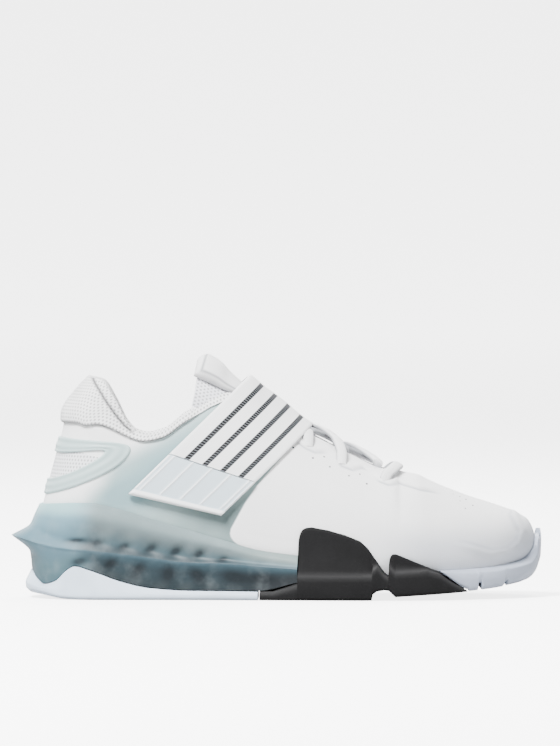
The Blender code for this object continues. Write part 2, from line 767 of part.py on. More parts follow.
def make_frame():
    """Raised overlay round the mesh window of the heel, from side to side."""
    theta = np.linspace(0, 2 * np.pi, 48, endpoint=False)
    outer, _ = upper_grids()
    lines = []
    for scale in (1.0, 0.85, 0.66):
        a, z = heel_window(theta, scale)
        lines.append(on_wall(outer, a, row_at(a, z)))
    face = np.stack(lines, 1)
    inside = np.array([HEEL_BACK_X + OPENING_SET + 0.03, 0, 0.6 * COLLAR])
    normal = face_normals(face, True)
    normal = normal * np.sign(np.sum(normal * (face - inside), -1, keepdims=True))
    outside = face + normal * (OVERLAY + FRAME * np.array([0.6, 1.0, 0.6])[None, :, None])
    under = face + normal * OVERLAY
    loops = np.concatenate([outside, under[:, ::-1]], 1)
    return ring("heel_frame", loops, (0.72, 0.78, 0.78), 0.5, closed=True)


def make_insole():
    """Sock liner on the bed, inside the upper."""
    a = np.linspace(-1, 1, 56, endpoint=False)
    inset = -(FEATHER_IN + WALL + FIT + GAP)
    low = feather(share(a))
    foot = spine_points(a, feather)
    edge = raised(outline(a), a, np.full(a.shape, inset), low)
    top_edge = edge + np.array([0, 0, INSOLE])
    crest = foot + np.array([0, 0, INSOLE])
    strip = place(np.stack([foot, edge, top_edge, crest], 1))
    return solid("insole", strip.reshape(-1, 3), grid_faces(len(a), 4, closed=True), (0.75, 0.76, 0.77), 0.9)


def tongue_face(p, q):
    """Upper face of the tongue: p runs from its front end to its top, q from side to side."""
    p, q = np.broadcast_arrays(np.asarray(p, dtype=float), np.asarray(q, dtype=float))
    bend = np.radians(80)
    x = HEEL_BACK_X + read(SPINE, "along", p, "step") * LENGTH - read(SPINE, "back", p, "step") * TONGUE * q**2
    width = read(SPINE, "half", p, "step") * TONGUE_HALF * np.sin(q * bend) / np.sin(bend)
    fall = read(SPINE, "drop", p, "step") * BED * (1 - np.cos(q * bend)) / (1 - np.cos(bend))
    return np.stack([x, width, read(SPINE, "height", p, "step") * COLLAR - fall], -1)


def pillow(name, face, thick, colour, roughness):
    """A pad on a grid of points: full in the middle, thin at its edges, grown along the normals."""
    normal = face_normals(face)
    normal = normal * np.where(normal[..., 2:] < 0, -1.0, 1.0)
    grown = face + normal * thick[..., None]
    rows, columns = face.shape[:2]
    points = np.concatenate([grown.reshape(-1, 3), face.reshape(-1, 3)])
    size = rows * columns
    border = [j for j in range(columns)]
    border += [i * columns + columns - 1 for i in range(1, rows)]
    border += [(rows - 1) * columns + j for j in range(columns - 2, -1, -1)]
    border += [i * columns for i in range(rows - 2, 0, -1)]
    faces = grid_faces(rows, columns) + [f[::-1] for f in grid_faces(rows, columns, size)]
    for here, after in zip(border, border[1:] + border[:1]):
        faces.append((here, after, size + after, size + here))
    return solid(name, points, faces, colour, roughness)


def make_tongue():
    """Padded tongue under the throat, standing up behind the strap."""
    p, q = np.linspace(0, 1, 17)[:, None], np.linspace(-1, 1, 11)[None, :]
    face = place(tongue_face(p, q))
    padded = TONGUE * (0.55 + 0.45 * smooth(0.4, 0.8, p)) * (0.45 + 0.55 * (1 - q**4))
    return pillow("tongue", face, -padded, (0.82, 0.83, 0.84), 0.9)


def make_tab():
    """Curled pull tab on the top of the tongue."""
    p, q = np.linspace(0.765, 1.0, 8)[:, None], np.linspace(-0.55, 0.55, 9)[None, :]
    face = tongue_face(p, q)
    beyond = np.linspace(0, 1, 8)[:, None]
    face[..., 0] -= 0.55 * TONGUE * smooth(0.6, 1.0, beyond)
    face = place(face)
    face = face + face_normals(face) * np.sign(face_normals(face)[..., 2:]) * (OVERLAY + TAB * 0.12 * beyond[..., None])
    bulge = (0.35 + 0.65 * smooth(0.0, 0.8, beyond)) * (1 - 0.55 * smooth(0.85, 1.0, beyond))
    thick = TAB * bulge * (0.4 + 0.6 * (1 - (q / 0.55) ** 4))
    return pillow("tongue_tab", face, thick, (0.85, 0.86, 0.87), 0.7)


def strap_point(square, climb):
    """X and Z of a place on the strap, from its distance square to it and up along it."""
    slope = np.radians(STRAP_SLOPE)
    x = square * np.sin(slope) + climb * np.cos(slope)
    return x, -square * np.cos(slope) + climb * np.sin(slope)


def strap_path(square, low, count, lift):
    """Points of one lengthwise line of the strap, from its lateral end over the foot to its medial end."""
    sides = []
    for side, extra in ((-1, 0.0), (1, 0.010)):
        climb = np.linspace(low - extra, 0.1, 500)
        x, z = strap_point(square, climb)
        edge, gap = top(x), rim_half(rim_share(x))
        rise = read(CROWN, "rise", along(x)) * LACE
        over = np.clip((z - edge) / rise, 0, 1)
        width = np.where(z < edge, section_half(x, z, side), gap * np.sqrt(1 - over**2))
        kept = over < 1
        sides.append(np.stack([side * width[kept], climb[kept]], -1))
    line = np.concatenate([sides[0], sides[1][::-1]])
    for _ in range(3):
        travel = np.concatenate([[0], np.cumsum(np.linalg.norm(np.diff(line, axis=0), axis=1))])
        even = np.linspace(0, travel[-1], 160)
        line = np.stack([np.interp(even, travel, line[:, k]) for k in range(2)], -1)
        wide = np.ones(9) / 9
        padded = np.concatenate([np.repeat(line[:1], 4, 0), line, np.repeat(line[-1:], 4, 0)])
        line[4:-4] = np.stack([np.convolve(padded[:, k], wide, "valid") for k in range(2)], -1)[4:-4]
    step = np.gradient(line, axis=0)
    normal = np.stack([-step[:, 1], step[:, 0]], -1)
    line = line + normal / np.linalg.norm(normal, axis=1, keepdims=True) * lift
    travel = np.concatenate([[0], np.cumsum(np.linalg.norm(np.diff(line, axis=0), axis=1))])
    even = np.linspace(0, travel[-1], count)
    width, climb = (np.interp(even, travel, line[:, k]) for k in range(2))
    x, z = strap_point(square, climb)
    return np.stack([x, width, z], -1), travel[-1]


def make_strap():
    """Strap over the instep and its ribbed end, cut from one band."""
    across = np.linspace(0, 1, 4 * TAB_RIBS + 1)
    fine, bodies = 121, []
    clear = 2.5 * FIT
    low_rear, low_front = -0.019, 0.0105
    for lift in (clear, clear + STRAP):
        lines = []
        for t in across:
            square = STRAP_REAR + STRAP_WIDTH * t
            path, _ = strap_path(square, low_rear + (low_front - low_rear) * t, fine, lift)
            lines.append(path)
        bodies.append(place(np.stack(lines, 1)))
    inner, outer = bodies
    normal = (outer - inner) / np.linalg.norm(outer - inner, axis=-1, keepdims=True)
    travel = np.cumsum(np.linalg.norm(np.diff(inner[:, len(across) // 2], axis=0), axis=1))
    cut = int(np.searchsorted(travel, TAB_LENGTH)) + 1
    body = np.concatenate([np.arange(cut, fine - 1, 5), [fine - 1]])
    edge_columns = np.arange(0, len(across), 4)
    shell = inner[body][:, edge_columns]
    thick = STRAP + 0 * shell[..., 0]
    strap = slab("strap", shell, normal[body][:, edge_columns], thick, (0.86, 0.87, 0.88), 0.8)
    end = np.unique(np.linspace(0, cut, 6).astype(int))
    shell = inner[end].copy()
    joint = inner[cut] - inner[cut - 1]
    shell[-1] -= joint / np.linalg.norm(joint, axis=-1, keepdims=True) * GAP * 2
    ribs = 0.5 + 0.5 * np.cos(2 * np.pi * across * TAB_RIBS)
    border = np.ones((len(end), 1))
    border[0] = 1.6
    thick = TAB_THICK * border + RIB * ribs[None, :]
    tab = slab("strap_tab", shell, normal[end], thick, (0.78, 0.82, 0.85), 0.45)
    return strap, tab


def slab(name, face, normal, thick, colour, roughness):
    """A band of the given thickness on a grid of points."""
    grown = face + normal * thick[..., None]
    rows, columns = face.shape[:2]
    loops = np.concatenate([grown, face[:, ::-1]], 1)
    return ring(name, loops.reshape(rows, 2 * columns, 3), colour, roughness)


def lace_path(start, end, side, k):
    """One strand over the tongue, from beside an eyelet to beside the one across."""
    t = np.linspace(0, 1, LACE_STEPS)
    x = HEEL_BACK_X + start + (end - start) * t
    across = side * np.cos(np.pi * t)
    gap = rim_half(rim_share(x))
    width = across * (gap + LIE["reach"][k] * LACE)
    surface = section_height(x, np.maximum(np.abs(width), gap), np.where(width < 0, -1, 1))
    lift = LACE * (LIE["height"][k] + LIE["rise"][k] * (1 - across**2))
    return place(np.stack([x, width, surface + lift], -1))


def tube(name, path, colour, roughness):
    """A flat cord along a path."""
    step = np.gradient(path, axis=0)
    step /= np.linalg.norm(step, axis=1, keepdims=True)
    slope = np.array([[0.9, 0, -0.43]])
    flat = slope - np.sum(slope * step, axis=1, keepdims=True) * step
    flat /= np.linalg.norm(flat, axis=1, keepdims=True)
    rise = np.cross(flat, step)
    turns = np.linspace(0, 2 * np.pi, LACE_SIDES, endpoint=False)
    wide = np.cos(turns)[None, :, None] * flat[:, None, :] * LACE / 2
    tall = np.sin(turns)[None, :, None] * rise[:, None, :] * LACE_FLAT / 2
    return ring(name, path[:, None, :] + wide + tall, colour, roughness)


def make_lace():
    """Crossings of the lace from the throat's front upwards, each one joined solid."""
    white = (0.9, 0.9, 0.91)
    front = LACE_ROWS[0] + 0.4 * LACE
    bar = lace_path(front, front, -1, 0)
    bar[:, 0] += 1.2 * LACE * np.sin(np.linspace(0, np.pi, len(bar)))
    tube("lace_1", bar, white, 0.8)
    for k, (start, end) in enumerate(zip(LACE_ROWS, LACE_ROWS[1:])):
        front, rear = start - 0.65 * LACE, end + 0.65 * LACE
        crossing = tube(f"lace_{k + 2}", lace_path(front, rear, -1, k), white, 0.8)
        other = tube(f"lace_strand_{k + 2}", lace_path(front, rear, 1, k), white, 0.8)
        join = crossing.modifiers.new("join", "BOOLEAN")
        join.operation = "UNION"
        join.object = other
        other.hide_render = True
        other.display_type = "WIRE"


def centre_on_floor():
    """Moves every mesh so that the origin lies under the middle of the whole shoe."""
    meshes = [item.data for item in bpy.data.objects if item.type == "MESH"]
    corners = []
    for mesh in meshes:
        points = np.empty(len(mesh.vertices) * 3)
        mesh.vertices.foreach_get("co", points)
        points = points.reshape(-1, 3)
        corners.append((points.min(0), points.max(0)))
    low = np.min([c[0] for c in corners], axis=0)
    high = np.max([c[1] for c in corners], axis=0)
    shift = np.array([(low[0] + high[0]) / 2, (low[1] + high[1]) / 2, low[2]])
    for mesh in meshes:
        points = np.empty(len(mesh.vertices) * 3)
        mesh.vertices.foreach_get("co", points)
        mesh.vertices.foreach_set("co", (points.reshape(-1, 3) - shift).ravel())
        mesh.update()


def main():
    """Builds every piece, from the sole up."""
    for item in list(bpy.data.objects):
        bpy.data.objects.remove(item, do_unlink=True)
    make_heel_plate()
    make_heel_wedge()
    make_rubber()
    make_toe()
    make_upper()
    make_insole()
    make_cuff()
    make_frame()
    make_tongue()
    make_tab()
    make_strap()
    make_lace()
    centre_on_floor()


main()
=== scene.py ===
"""Weightlifting shoe for the right foot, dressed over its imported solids.

Metres, +Z up, toe along +X, medial side along +Y. The shoe's form is one set of functions of two
parameters: a goes round the foot (0 at the heel, -1 and 1 at the toe, negative on the lateral side), and v
climbs the wall (-1 at the lower edge, 0 at the widest level, 1 at the opening). Every piece takes its surface
from them.
"""

from __future__ import annotations

import logging
from dataclasses import dataclass, field
from enum import Enum

import bmesh
import bpy
import numpy as np
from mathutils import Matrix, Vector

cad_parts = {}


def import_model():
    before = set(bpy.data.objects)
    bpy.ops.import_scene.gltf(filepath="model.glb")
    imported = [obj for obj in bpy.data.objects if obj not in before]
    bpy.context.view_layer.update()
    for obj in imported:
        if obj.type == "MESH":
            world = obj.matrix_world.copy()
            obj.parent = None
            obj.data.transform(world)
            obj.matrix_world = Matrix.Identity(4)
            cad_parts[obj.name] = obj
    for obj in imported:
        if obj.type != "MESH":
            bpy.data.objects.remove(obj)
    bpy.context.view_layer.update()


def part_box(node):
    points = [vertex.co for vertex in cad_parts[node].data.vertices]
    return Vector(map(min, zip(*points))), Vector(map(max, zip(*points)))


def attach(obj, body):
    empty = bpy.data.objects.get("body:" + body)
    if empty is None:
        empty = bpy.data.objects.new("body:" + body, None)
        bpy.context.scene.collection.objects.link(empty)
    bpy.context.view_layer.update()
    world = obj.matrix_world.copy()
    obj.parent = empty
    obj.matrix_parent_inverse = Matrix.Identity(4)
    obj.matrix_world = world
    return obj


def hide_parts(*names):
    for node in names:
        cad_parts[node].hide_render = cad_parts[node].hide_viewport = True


LOG = logging.getLogger("shoe")
Array = np.ndarray
Colour = tuple[float, float, float]
STUDIO_LIGHT = 3.6  # light on a wall that faces the camera
WHITEST = 0.86
MM = 0.001
WELD = 2e-6  # points nearer than this become one
STEP = 1e-4  # step round the foot for a slope


def table(names: str, *rows: tuple[float, ...]) -> dict[str, Array]:
    """Gives named columns to a table that is written row by row."""
    return dict(zip(names.split(), np.array(rows, dtype=float).T))


def ease(xs: Array, ys: Array, at: Array) -> Array:
    """Reads a curve: cubic pieces through the rows, with harmonic mean slopes, so it never overshoots them.

    Args:
        xs: Places of the rows, rising.
        ys: Values of the rows.
        at: Places to read, held within the rows.

    Returns:
        The values there.
    """
    steps = np.diff(xs)
    slopes = np.diff(ys) / steps
    before, after = slopes[:-1], slopes[1:]
    same = before * after > 0
    safe = np.where(same, before, 1.0), np.where(same, after, 1.0)
    inner = np.where(same, 2.0 / (1.0 / safe[0] + 1.0 / safe[1]), 0.0)
    tangents = np.concatenate([slopes[:1], inner, slopes[-1:]])
    at = np.clip(at, xs[0], xs[-1])
    k = np.clip(np.searchsorted(xs, at) - 1, 0, len(steps) - 1)
    t = (at - xs[k]) / steps[k]
    start = ys[k] * (1 + 2 * t) + tangents[k] * steps[k] * t
    end = ys[k + 1] * (3 - 2 * t) - tangents[k + 1] * steps[k] * (1 - t)
    return start * (1 - t) ** 2 + end * t**2


def through(points: Array, count: int) -> Array:
    """Fills curves in: cubic pieces through evenly numbered points, with harmonic mean slopes.

    Args:
        points: An array of n curves by k points by 3.
        count: Points wanted on each curve.

    Returns:
        An array of n by count by 3.
    """
    steps = np.diff(points, axis=1)
    before, after = steps[:, :-1], steps[:, 1:]
    same = before * after > 0
    inner = np.where(same, 2 * before * after / np.where(same, before + after, 1.0), 0.0)
    tangents = np.concatenate([steps[:, :1], inner, steps[:, -1:]], 1)
    at = np.linspace(0, points.shape[1] - 1, count)
    k = np.minimum(at.astype(int), points.shape[1] - 2)
    t = (at - k)[None, :, None]
    start = points[:, k] * (1 + 2 * t) + tangents[:, k] * t
    end = points[:, k + 1] * (3 - 2 * t) - tangents[:, k + 1] * (1 - t)
    return start * (1 - t) ** 2 + end * t**2


def read(rows: dict[str, Array], name: str, at: Array, by: str = "along") -> Array:
    """A named column of a table at the given shares."""
    return ease(rows[by], rows[name], np.asarray(at, dtype=float))


def smooth(low: float, high: float, at: Array) -> Array:
    """0 below low, 1 above high, and 3t² - 2t³ between."""
    t = np.clip((at - low) / (high - low), 0, 1)
    return t * t * (3 - 2 * t)


def cap(near: Array, reach: float, power: float = 2.0) -> Array:
    """Rounding towards an end: 0 at the end, 1 from reach on, a superellipse of that power between."""
    return (1 - (1 - np.clip(near / reach, 0, 1)) ** power) ** (1 / power)


def wrap(a: Array) -> Array:
    """Brings a place round the foot into -1 to 1."""
    return (np.asarray(a, dtype=float) + 1) % 2 - 1


def share(a: Array) -> Array:
    """Share of the length at a place round the foot: half of one minus the cosine of a half turn's share."""
    return (1 - np.cos(np.pi * a)) / 2


def blob(
    x: Array, z: Array, centre: tuple[float, float], reach: tuple[float, float], lean: float = 0.0
) -> Array:
    """A soft spot: e to the minus squared distance, in widths of the spot, sheared by lean with height."""
    across = (x - centre[0] - lean * (z - centre[1])) / reach[0]
    return np.exp(-(across**2) - ((z - centre[1]) / reach[1]) ** 2)


def side_of(x: Array, z: Array, line: tuple[tuple[float, float], ...], closed: bool = False) -> Array:
    """Signed distance of points from a line in side view.

    The distance is the least one to the line's pieces. Its sign is plus on the right of the line's travel, or
    inside a closed line, by the count of pieces that a level ray crosses.

    Args:
        x: Places along the shoe.
        z: Heights.
        line: Corners of the line.
        closed: Whether the line comes back to its start.

    Returns:
        The distances, in the line's units.
    """
    corners = np.array(line + line[:1] if closed else line)
    best, sign = np.full(x.shape, 1e9), np.ones(x.shape)
    inside = np.zeros(x.shape, dtype=bool)
    for (x0, z0), (x1, z1) in zip(corners[:-1], corners[1:]):
        dx, dz = x1 - x0, z1 - z0
        t = np.clip(((x - x0) * dx + (z - z0) * dz) / (dx * dx + dz * dz), 0, 1)
        distance = np.hypot(x - x0 - t * dx, z - z0 - t * dz)
        turn = np.where(dx * (z - z0) - dz * (x - x0) < 0, 1.0, -1.0)
        nearer = distance < best - 1e-9
        best, sign = np.where(nearer, distance, best), np.where(nearer, turn, sign)
        crossed = (z0 > z) != (z1 > z)
        inside ^= crossed & (x < x0 + (z - z0) / np.where(crossed, dz, 1.0) * dx)
    return best * (np.where(inside, 1.0, -1.0) if closed else sign)


@dataclass(frozen=True)
class ShoeForm:
    """The shoe's form: the same sizes, tables and functions that its solids are made from."""

    length: float = 0.2778
    ball_half: float = 0.048
    collar: float = 0.124
    bed: float = 0.028
    heel_back: float = -0.1325
    wall: float = 0.0022
    collar_wall: float = 0.0055
    feather_in: float = 0.0035
    heel_round: float = 0.036
    toe_round: float = 0.075
    nose_round: float = 0.006
    opening_set: float = 0.0275
    opening_length: float = 0.173
    collar_round: float = 0.016
    throat_round: float = 0.009
    fullness: float = 0.87
    stand_out: float = 0.005
    spur: float = 0.0175
    heel_spine: float = 0.036
    toe_spine: float = 0.0153
    fit: float = 0.0006
    gap: float = 0.0003
    shift: tuple[float, float, float] = (0.0, 0.0, 0.0)
    sections: dict[str, Array] = field(default_factory=lambda: table(
        "along lateral medial centre feather widest",
        (0.000, 0.708, 0.698, 0.000, 0.964, 1.571),
        (0.100, 0.708, 0.698, 0.000, 0.929, 1.536),
        (0.207, 0.729, 0.688, 0.000, 0.821, 1.464),
        (0.315, 0.760, 0.688, -0.010, 0.714, 1.357),
        (0.423, 0.823, 0.740, -0.020, 0.607, 1.214),
        (0.531, 0.917, 0.844, -0.010, 0.518, 1.071),
        (0.639, 1.000, 0.938, 0.020, 0.464, 1.000),
        (0.729, 1.020, 0.969, 0.062, 0.464, 0.964),
        (0.819, 1.000, 0.958, 0.125, 0.493, 0.964),
        (0.909, 0.969, 0.938, 0.198, 0.589, 1.000),
        (1.000, 0.958, 0.938, 0.270, 0.750, 1.071),
    ))
    rim: dict[str, Array] = field(default_factory=lambda: table(
        "along height half",
        (0.000, 0.998, 0.458),
        (0.038, 0.979, 0.458),
        (0.081, 0.895, 0.500),
        (0.119, 0.790, 0.542),
        (0.150, 0.747, 0.562),
        (0.181, 0.736, 0.583),
        (0.237, 0.753, 0.594),
        (0.301, 0.819, 0.583),
        (0.350, 0.863, 0.552),
        (0.393, 0.899, 0.521),
        (0.451, 0.930, 0.448),
        (0.491, 0.927, 0.396),
        (0.561, 0.867, 0.333),
        (0.636, 0.802, 0.302),
        (0.728, 0.731, 0.271),
        (0.835, 0.653, 0.240),
        (0.942, 0.585, 0.208),
        (1.000, 0.571, 0.198),
    ))
    vamp: dict[str, Array] = field(default_factory=lambda: table(
        "along height",
        (0.600, 0.640),
        (0.722, 0.571),
        (0.761, 0.553),
        (0.785, 0.526),
        (0.810, 0.502),
        (0.858, 0.461),
        (0.908, 0.425),
        (0.956, 0.385),
        (0.981, 0.356),
        (1.000, 0.339),
    ))
    turn: dict[str, Array] = field(default_factory=lambda: table(
        "along angle", (0.0, 48), (0.30, 50), (0.48, 60), (0.60, 70), (0.722, 90), (1.0, 90)
    ))
    back: dict[str, Array] = field(default_factory=lambda: table(
        "along lean",
        (0.00, 0.000),
        (0.11, 0.018),
        (0.21, 0.095),
        (0.33, 0.178),
        (0.48, 0.295),
        (0.68, 0.440),
        (0.75, 0.455),
        (0.90, 0.727),
        (1.00, 1.000),
    ))

    def round_at(self, distance: Array) -> Array:
        """The place round the foot that lies at a distance from the back of the upper."""
        return np.arccos(1 - 2 * np.asarray(distance) / self.length) / np.pi

    def along(self, x: Array) -> Array:
        """Share of the length at a place along X."""
        return (x - self.heel_back) / self.length

    def rim_share(self, x: Array) -> Array:
        """Share of the opening at a place along X."""
        return (x - self.heel_back - self.opening_set) / self.opening_length

    def feather(self, s: Array) -> Array:
        """Height of the upper's lower edge."""
        return read(self.sections, "feather", s) * self.bed

    def widest(self, s: Array) -> Array:
        """Height of the upper's widest level."""
        return read(self.sections, "widest", s) * self.bed

    def half_width(self, s: Array, side: Array) -> Array:
        """Half of the width at the widest level, rounded off at heel and toe."""
        lateral, medial = read(self.sections, "lateral", s), read(self.sections, "medial", s)
        ends = cap(s * self.length, self.heel_round, 2.1) * cap((1 - s) * self.length, self.toe_round, 2.2)
        return np.where(side < 0, lateral, medial) * self.ball_half * ends

    def rim_half(self, r: Array) -> Array:
        """Half of the opening's width, 0 behind and ahead of it."""
        back, front = cap(r * self.opening_length, self.collar_round), (1 - r) * self.opening_length
        return read(self.rim, "half", r) * self.ball_half * back * cap(front, self.throat_round)

    def outline(self, a: Array) -> Array:
        """Plan of the upper at its widest level, as x and the distance from the centre line."""
        a = wrap(a)
        s = share(a)
        return np.stack([self.heel_back + s * self.length, np.sign(a) * self.half_width(s, a)], -1)

    def opening(self, a: Array) -> Array:
        """Plan of the opening's edge."""
        a = wrap(a)
        r = share(a)
        x = self.heel_back + self.opening_set + r * self.opening_length
        return np.stack([x, np.sign(a) * self.rim_half(r)], -1)

    def outward(self, a: Array) -> Array:
        """Unit normal of the outline in plan, from its change over a small step."""
        step = self.outline(a + STEP) - self.outline(a - STEP)
        normal = np.stack([-step[..., 1], step[..., 0]], -1)
        return normal / np.linalg.norm(normal, axis=-1, keepdims=True)

    def top(self, x: Array) -> Array:
        """Height of the opening's edge and, ahead of it, of the vamp's ridge.

        Args:
            x: Places along X.

        Returns:
            The heights.
        """
        s = self.along(x)
        low, r = self.widest(s), self.rim_share(x)
        ridge = read(self.vamp, "height", s) * self.collar
        vamp = low + (ridge - low) * cap((1 - s) * self.length, self.nose_round)
        return np.where(r < 1, read(self.rim, "height", r) * self.collar, vamp)

    def turn_end(self, x: Array) -> Array:
        """Angle that a section turns over by, up to its top."""
        return np.radians(np.minimum(read(self.turn, "angle", self.along(x)), 89.9))

    def section_half(self, x: Array, z: Array, side: Array) -> Array:
        """Half width of the upper at a height: powers of a turn's sine and cosine, widest level to rim.

        Args:
            x: Places along X.
            z: Heights.
            side: Minus for the lateral side, plus for the medial one.

        Returns:
            Distances from the centre line.
        """
        s = self.along(x)
        low, end = self.widest(s), self.turn_end(x)
        rise = np.clip((z - low) / np.maximum(self.top(x) - low, self.gap), 0, 1)
        turn = np.arcsin(np.clip(rise ** (1 / self.fullness) * np.sin(end), 0, 1))
        last = np.cos(end) ** self.fullness
        out = (np.cos(turn) ** self.fullness - last) / (1 - last)
        hole = self.rim_half(self.rim_share(x))
        return hole + (self.half_width(s, side) - hole) * out

    def section_height(self, x: Array, width: Array, side: Array) -> Array:
        """Height of the upper's outer face over a plan point, the inverse of section_half.

        Args:
            x: Places along X.
            width: Distances from the centre line.
            side: Minus for the lateral side, plus for the medial one.

        Returns:
            The heights.
        """
        s = self.along(x)
        low, end = self.widest(s), self.turn_end(x)
        hole, last = self.rim_half(self.rim_share(x)), np.cos(end) ** self.fullness
        span = np.maximum(self.half_width(s, side) - hole, 1e-6)
        out = np.clip((np.abs(width) - hole) / span, 0, 1) * (1 - last) + last
        turn = np.arccos(np.clip(out ** (1 / self.fullness), 0, 1))
        return low + (self.top(x) - low) * np.clip(np.sin(turn) / np.sin(end), 0, 1) ** self.fullness

    def lean_at(self, a: Array, turn: Array, end: Array, rise: Array) -> Array:
        """Share of the way in plan from the outline to the opening, by the back's table near the heel.

        Args:
            a: Places round the foot.
            turn: Angle that the section has turned over by.
            end: That angle at its top.
            rise: Share of its height.

        Returns:
            The shares, 0 at the outline and 1 at the opening.
        """
        last = np.cos(end) ** self.fullness
        side = 1 - (np.cos(turn) ** self.fullness - last) / (1 - last)
        back = ease(self.back["along"], self.back["lean"], rise)
        return side + (back - side) * (1 - smooth(0.04, 0.24, share(a)))

    def face(self, a: Array, v: Array) -> Array:
        """Outer face of the upper: level climbs at the heel, blended to cross sections at the forefoot.

        Args:
            a: Places round the foot.
            v: Places up the wall.

        Returns:
            Points from the foot's centre line.
        """
        a, v = np.broadcast_arrays(wrap(a), np.asarray(v, dtype=float))
        s = share(a)
        base, rim = self.outline(a), self.opening(a)
        end = self.turn_end(rim[..., 0])
        turn = np.clip(v, 0, 1) * end
        rise = (np.sin(turn) / np.sin(end)) ** self.fullness
        plan = base + (rim - base) * self.lean_at(a, turn, end, rise)[..., None]
        low = self.widest(s)
        level = low + (read(self.rim, "height", s) * self.collar - low) * rise
        front = smooth(0.33, 0.50, s)
        height = level + (self.section_height(plan[..., 0], plan[..., 1], a) - level) * front
        down = np.clip(-v, 0, 1)
        plan = plan - self.outward(a) * (self.feather_in * down**2)[..., None]
        height = np.where(v < 0, low - (low - self.feather(s)) * down, height)
        return np.concatenate([plan, height[..., None]], -1)

    def plan_at(self, a: Array, z: Array) -> Array:
        """Plan point of the upper's outer face in a column, at a height.

        Args:
            a: Places round the foot.
            z: Heights.

        Returns:
            Their plan points.
        """
        a, z = np.broadcast_arrays(wrap(a), np.asarray(z, dtype=float))
        s = share(a)
        base, rim = self.outline(a), self.opening(a)
        low, high = self.widest(s), read(self.rim, "height", s) * self.collar
        end = self.turn_end(rim[..., 0])
        rise = np.clip((z - low) / (high - low), 0, 1)
        turn = np.arcsin(np.clip(rise ** (1 / self.fullness) * np.sin(end), 0, 1))
        level = base + (rim - base) * self.lean_at(a, turn, end, rise)[..., None]
        across = np.stack([base[..., 0], np.sign(a) * self.section_half(base[..., 0], z, a)], -1)
        plan = level + (across - level) * smooth(0.33, 0.50, s)[..., None]
        down = np.clip((low - z) / (low - self.feather(s)), 0, 1)
        return plan - self.outward(a) * (self.feather_in * down**2)[..., None]

    def row_at(self, a: Array, z: Array) -> Array:
        """How far up its column a height lies, from 0 at the widest level to 1 at the opening.

        Args:
            a: Places round the foot.
            z: Heights.

        Returns:
            The shares.
        """
        s = share(wrap(a))
        low, high = self.widest(s), read(self.rim, "height", s) * self.collar
        end = self.turn_end(self.opening(a)[..., 0])
        rise = np.clip((z - low) / (high - low), 0, 1)
        return np.arcsin(rise ** (1 / self.fullness) * np.sin(end)) / end

    def wall_at(self, a: Array, v: Array) -> Array:
        """Thickness of the wall, padded towards the collar."""
        padded = smooth(0.35, 0.85, v) * (1 - smooth(0.26, 0.40, share(wrap(a))))
        return self.wall + (self.collar_wall - self.wall) * padded

    def place(self, points: Array) -> Array:
        """Sets points given from the foot's centre line into the model's frame."""
        points = np.array(points, dtype=float)
        points[..., 1] += read(self.sections, "centre", self.along(points[..., 0])) * self.ball_half
        return points + np.array(self.shift)

    def side_view(self, points: Array) -> tuple[Array, Array]:
        """X from the middle of the shoe and height of placed points, in millimetres."""
        return (points[..., 0] - self.shift[0]) / MM, points[..., 2] / MM

    def raised(self, plan: Array, a: Array, out: Array, z: Array) -> Array:
        """Points a distance out from a plan curve, at a height."""
        out, z = np.broadcast_to(out, np.shape(a)), np.broadcast_to(z, np.shape(a))
        return np.concatenate([plan + self.outward(a) * out[..., None], z[..., None]], -1)

    def spine(self, a: Array, height: Array) -> Array:
        """Points on the spine that the rays round the foot start from."""
        ends = self.heel_back + self.heel_spine, self.heel_back + self.length - self.toe_spine
        x = np.clip(self.outline(a)[..., 0], *ends)
        return np.stack([x, np.zeros_like(x), np.broadcast_to(height, x.shape)], -1)

    def cup(self, a: Array, rim: Array, steps: int = 8) -> list[Array]:
        """Inner side of a rim that cups the upper, from its edge down to the bed.

        Args:
            a: Places round the foot.
            rim: Heights of the rim's edge.
            steps: Levels below the edge.

        Returns:
            The levels.
        """
        low = self.feather(share(a))
        start = np.where(rim < low, self.widest(share(a)), rim)
        levels = []
        for k in range(steps + 1):
            z = start + (low - start) * k / steps
            height = np.minimum(z if k < steps else low - self.gap, rim)
            levels.append(self.raised(self.plan_at(a, z), a, self.fit, height))
        return levels


def normals_of(grid: Array, closed: bool = False) -> Array:
    """Unit normals of a grid of points: the cross product of its two centred differences."""
    first = np.roll(grid, -1, 0) - np.roll(grid, 1, 0) if closed else np.gradient(grid, axis=0)
    normal = np.cross(np.gradient(grid, axis=1), first)
    return normal / np.maximum(np.linalg.norm(normal, axis=-1, keepdims=True), 1e-12)


def upward(grid: Array) -> Array:
    """Unit normals of a grid, turned so that none points down."""
    normal = normals_of(grid)
    return normal * np.where(normal[..., 2:] < 0, -1.0, 1.0)


def doubled(values: Array) -> Array:
    """A grid's values, and then its columns again in reverse, for the face and back of a closed band."""
    return np.concatenate([values, values[:, ::-1]], 1)


def quads(rows: int, columns: int, loop_rows: bool, loop_columns: bool) -> Array:
    """Corners of a grid's quads: each point, the next along, its diagonal and the next across.

    Args:
        rows: Rows of points.
        columns: Columns of points.
        loop_rows: Whether the last row meets the first.
        loop_columns: Whether the last column meets the first.

    Returns:
        An array of quads by 4.
    """
    numbers = np.arange(rows * columns).reshape(rows, columns)
    if loop_rows:
        numbers = np.concatenate([numbers, numbers[:1]], 0)
    if loop_columns:
        numbers = np.concatenate([numbers, numbers[:, :1]], 1)
    near, far = numbers[:-1], numbers[1:]
    return np.stack([near[:, :-1], far[:, :-1], far[:, 1:], near[:, 1:]], -1).reshape(-1, 4)


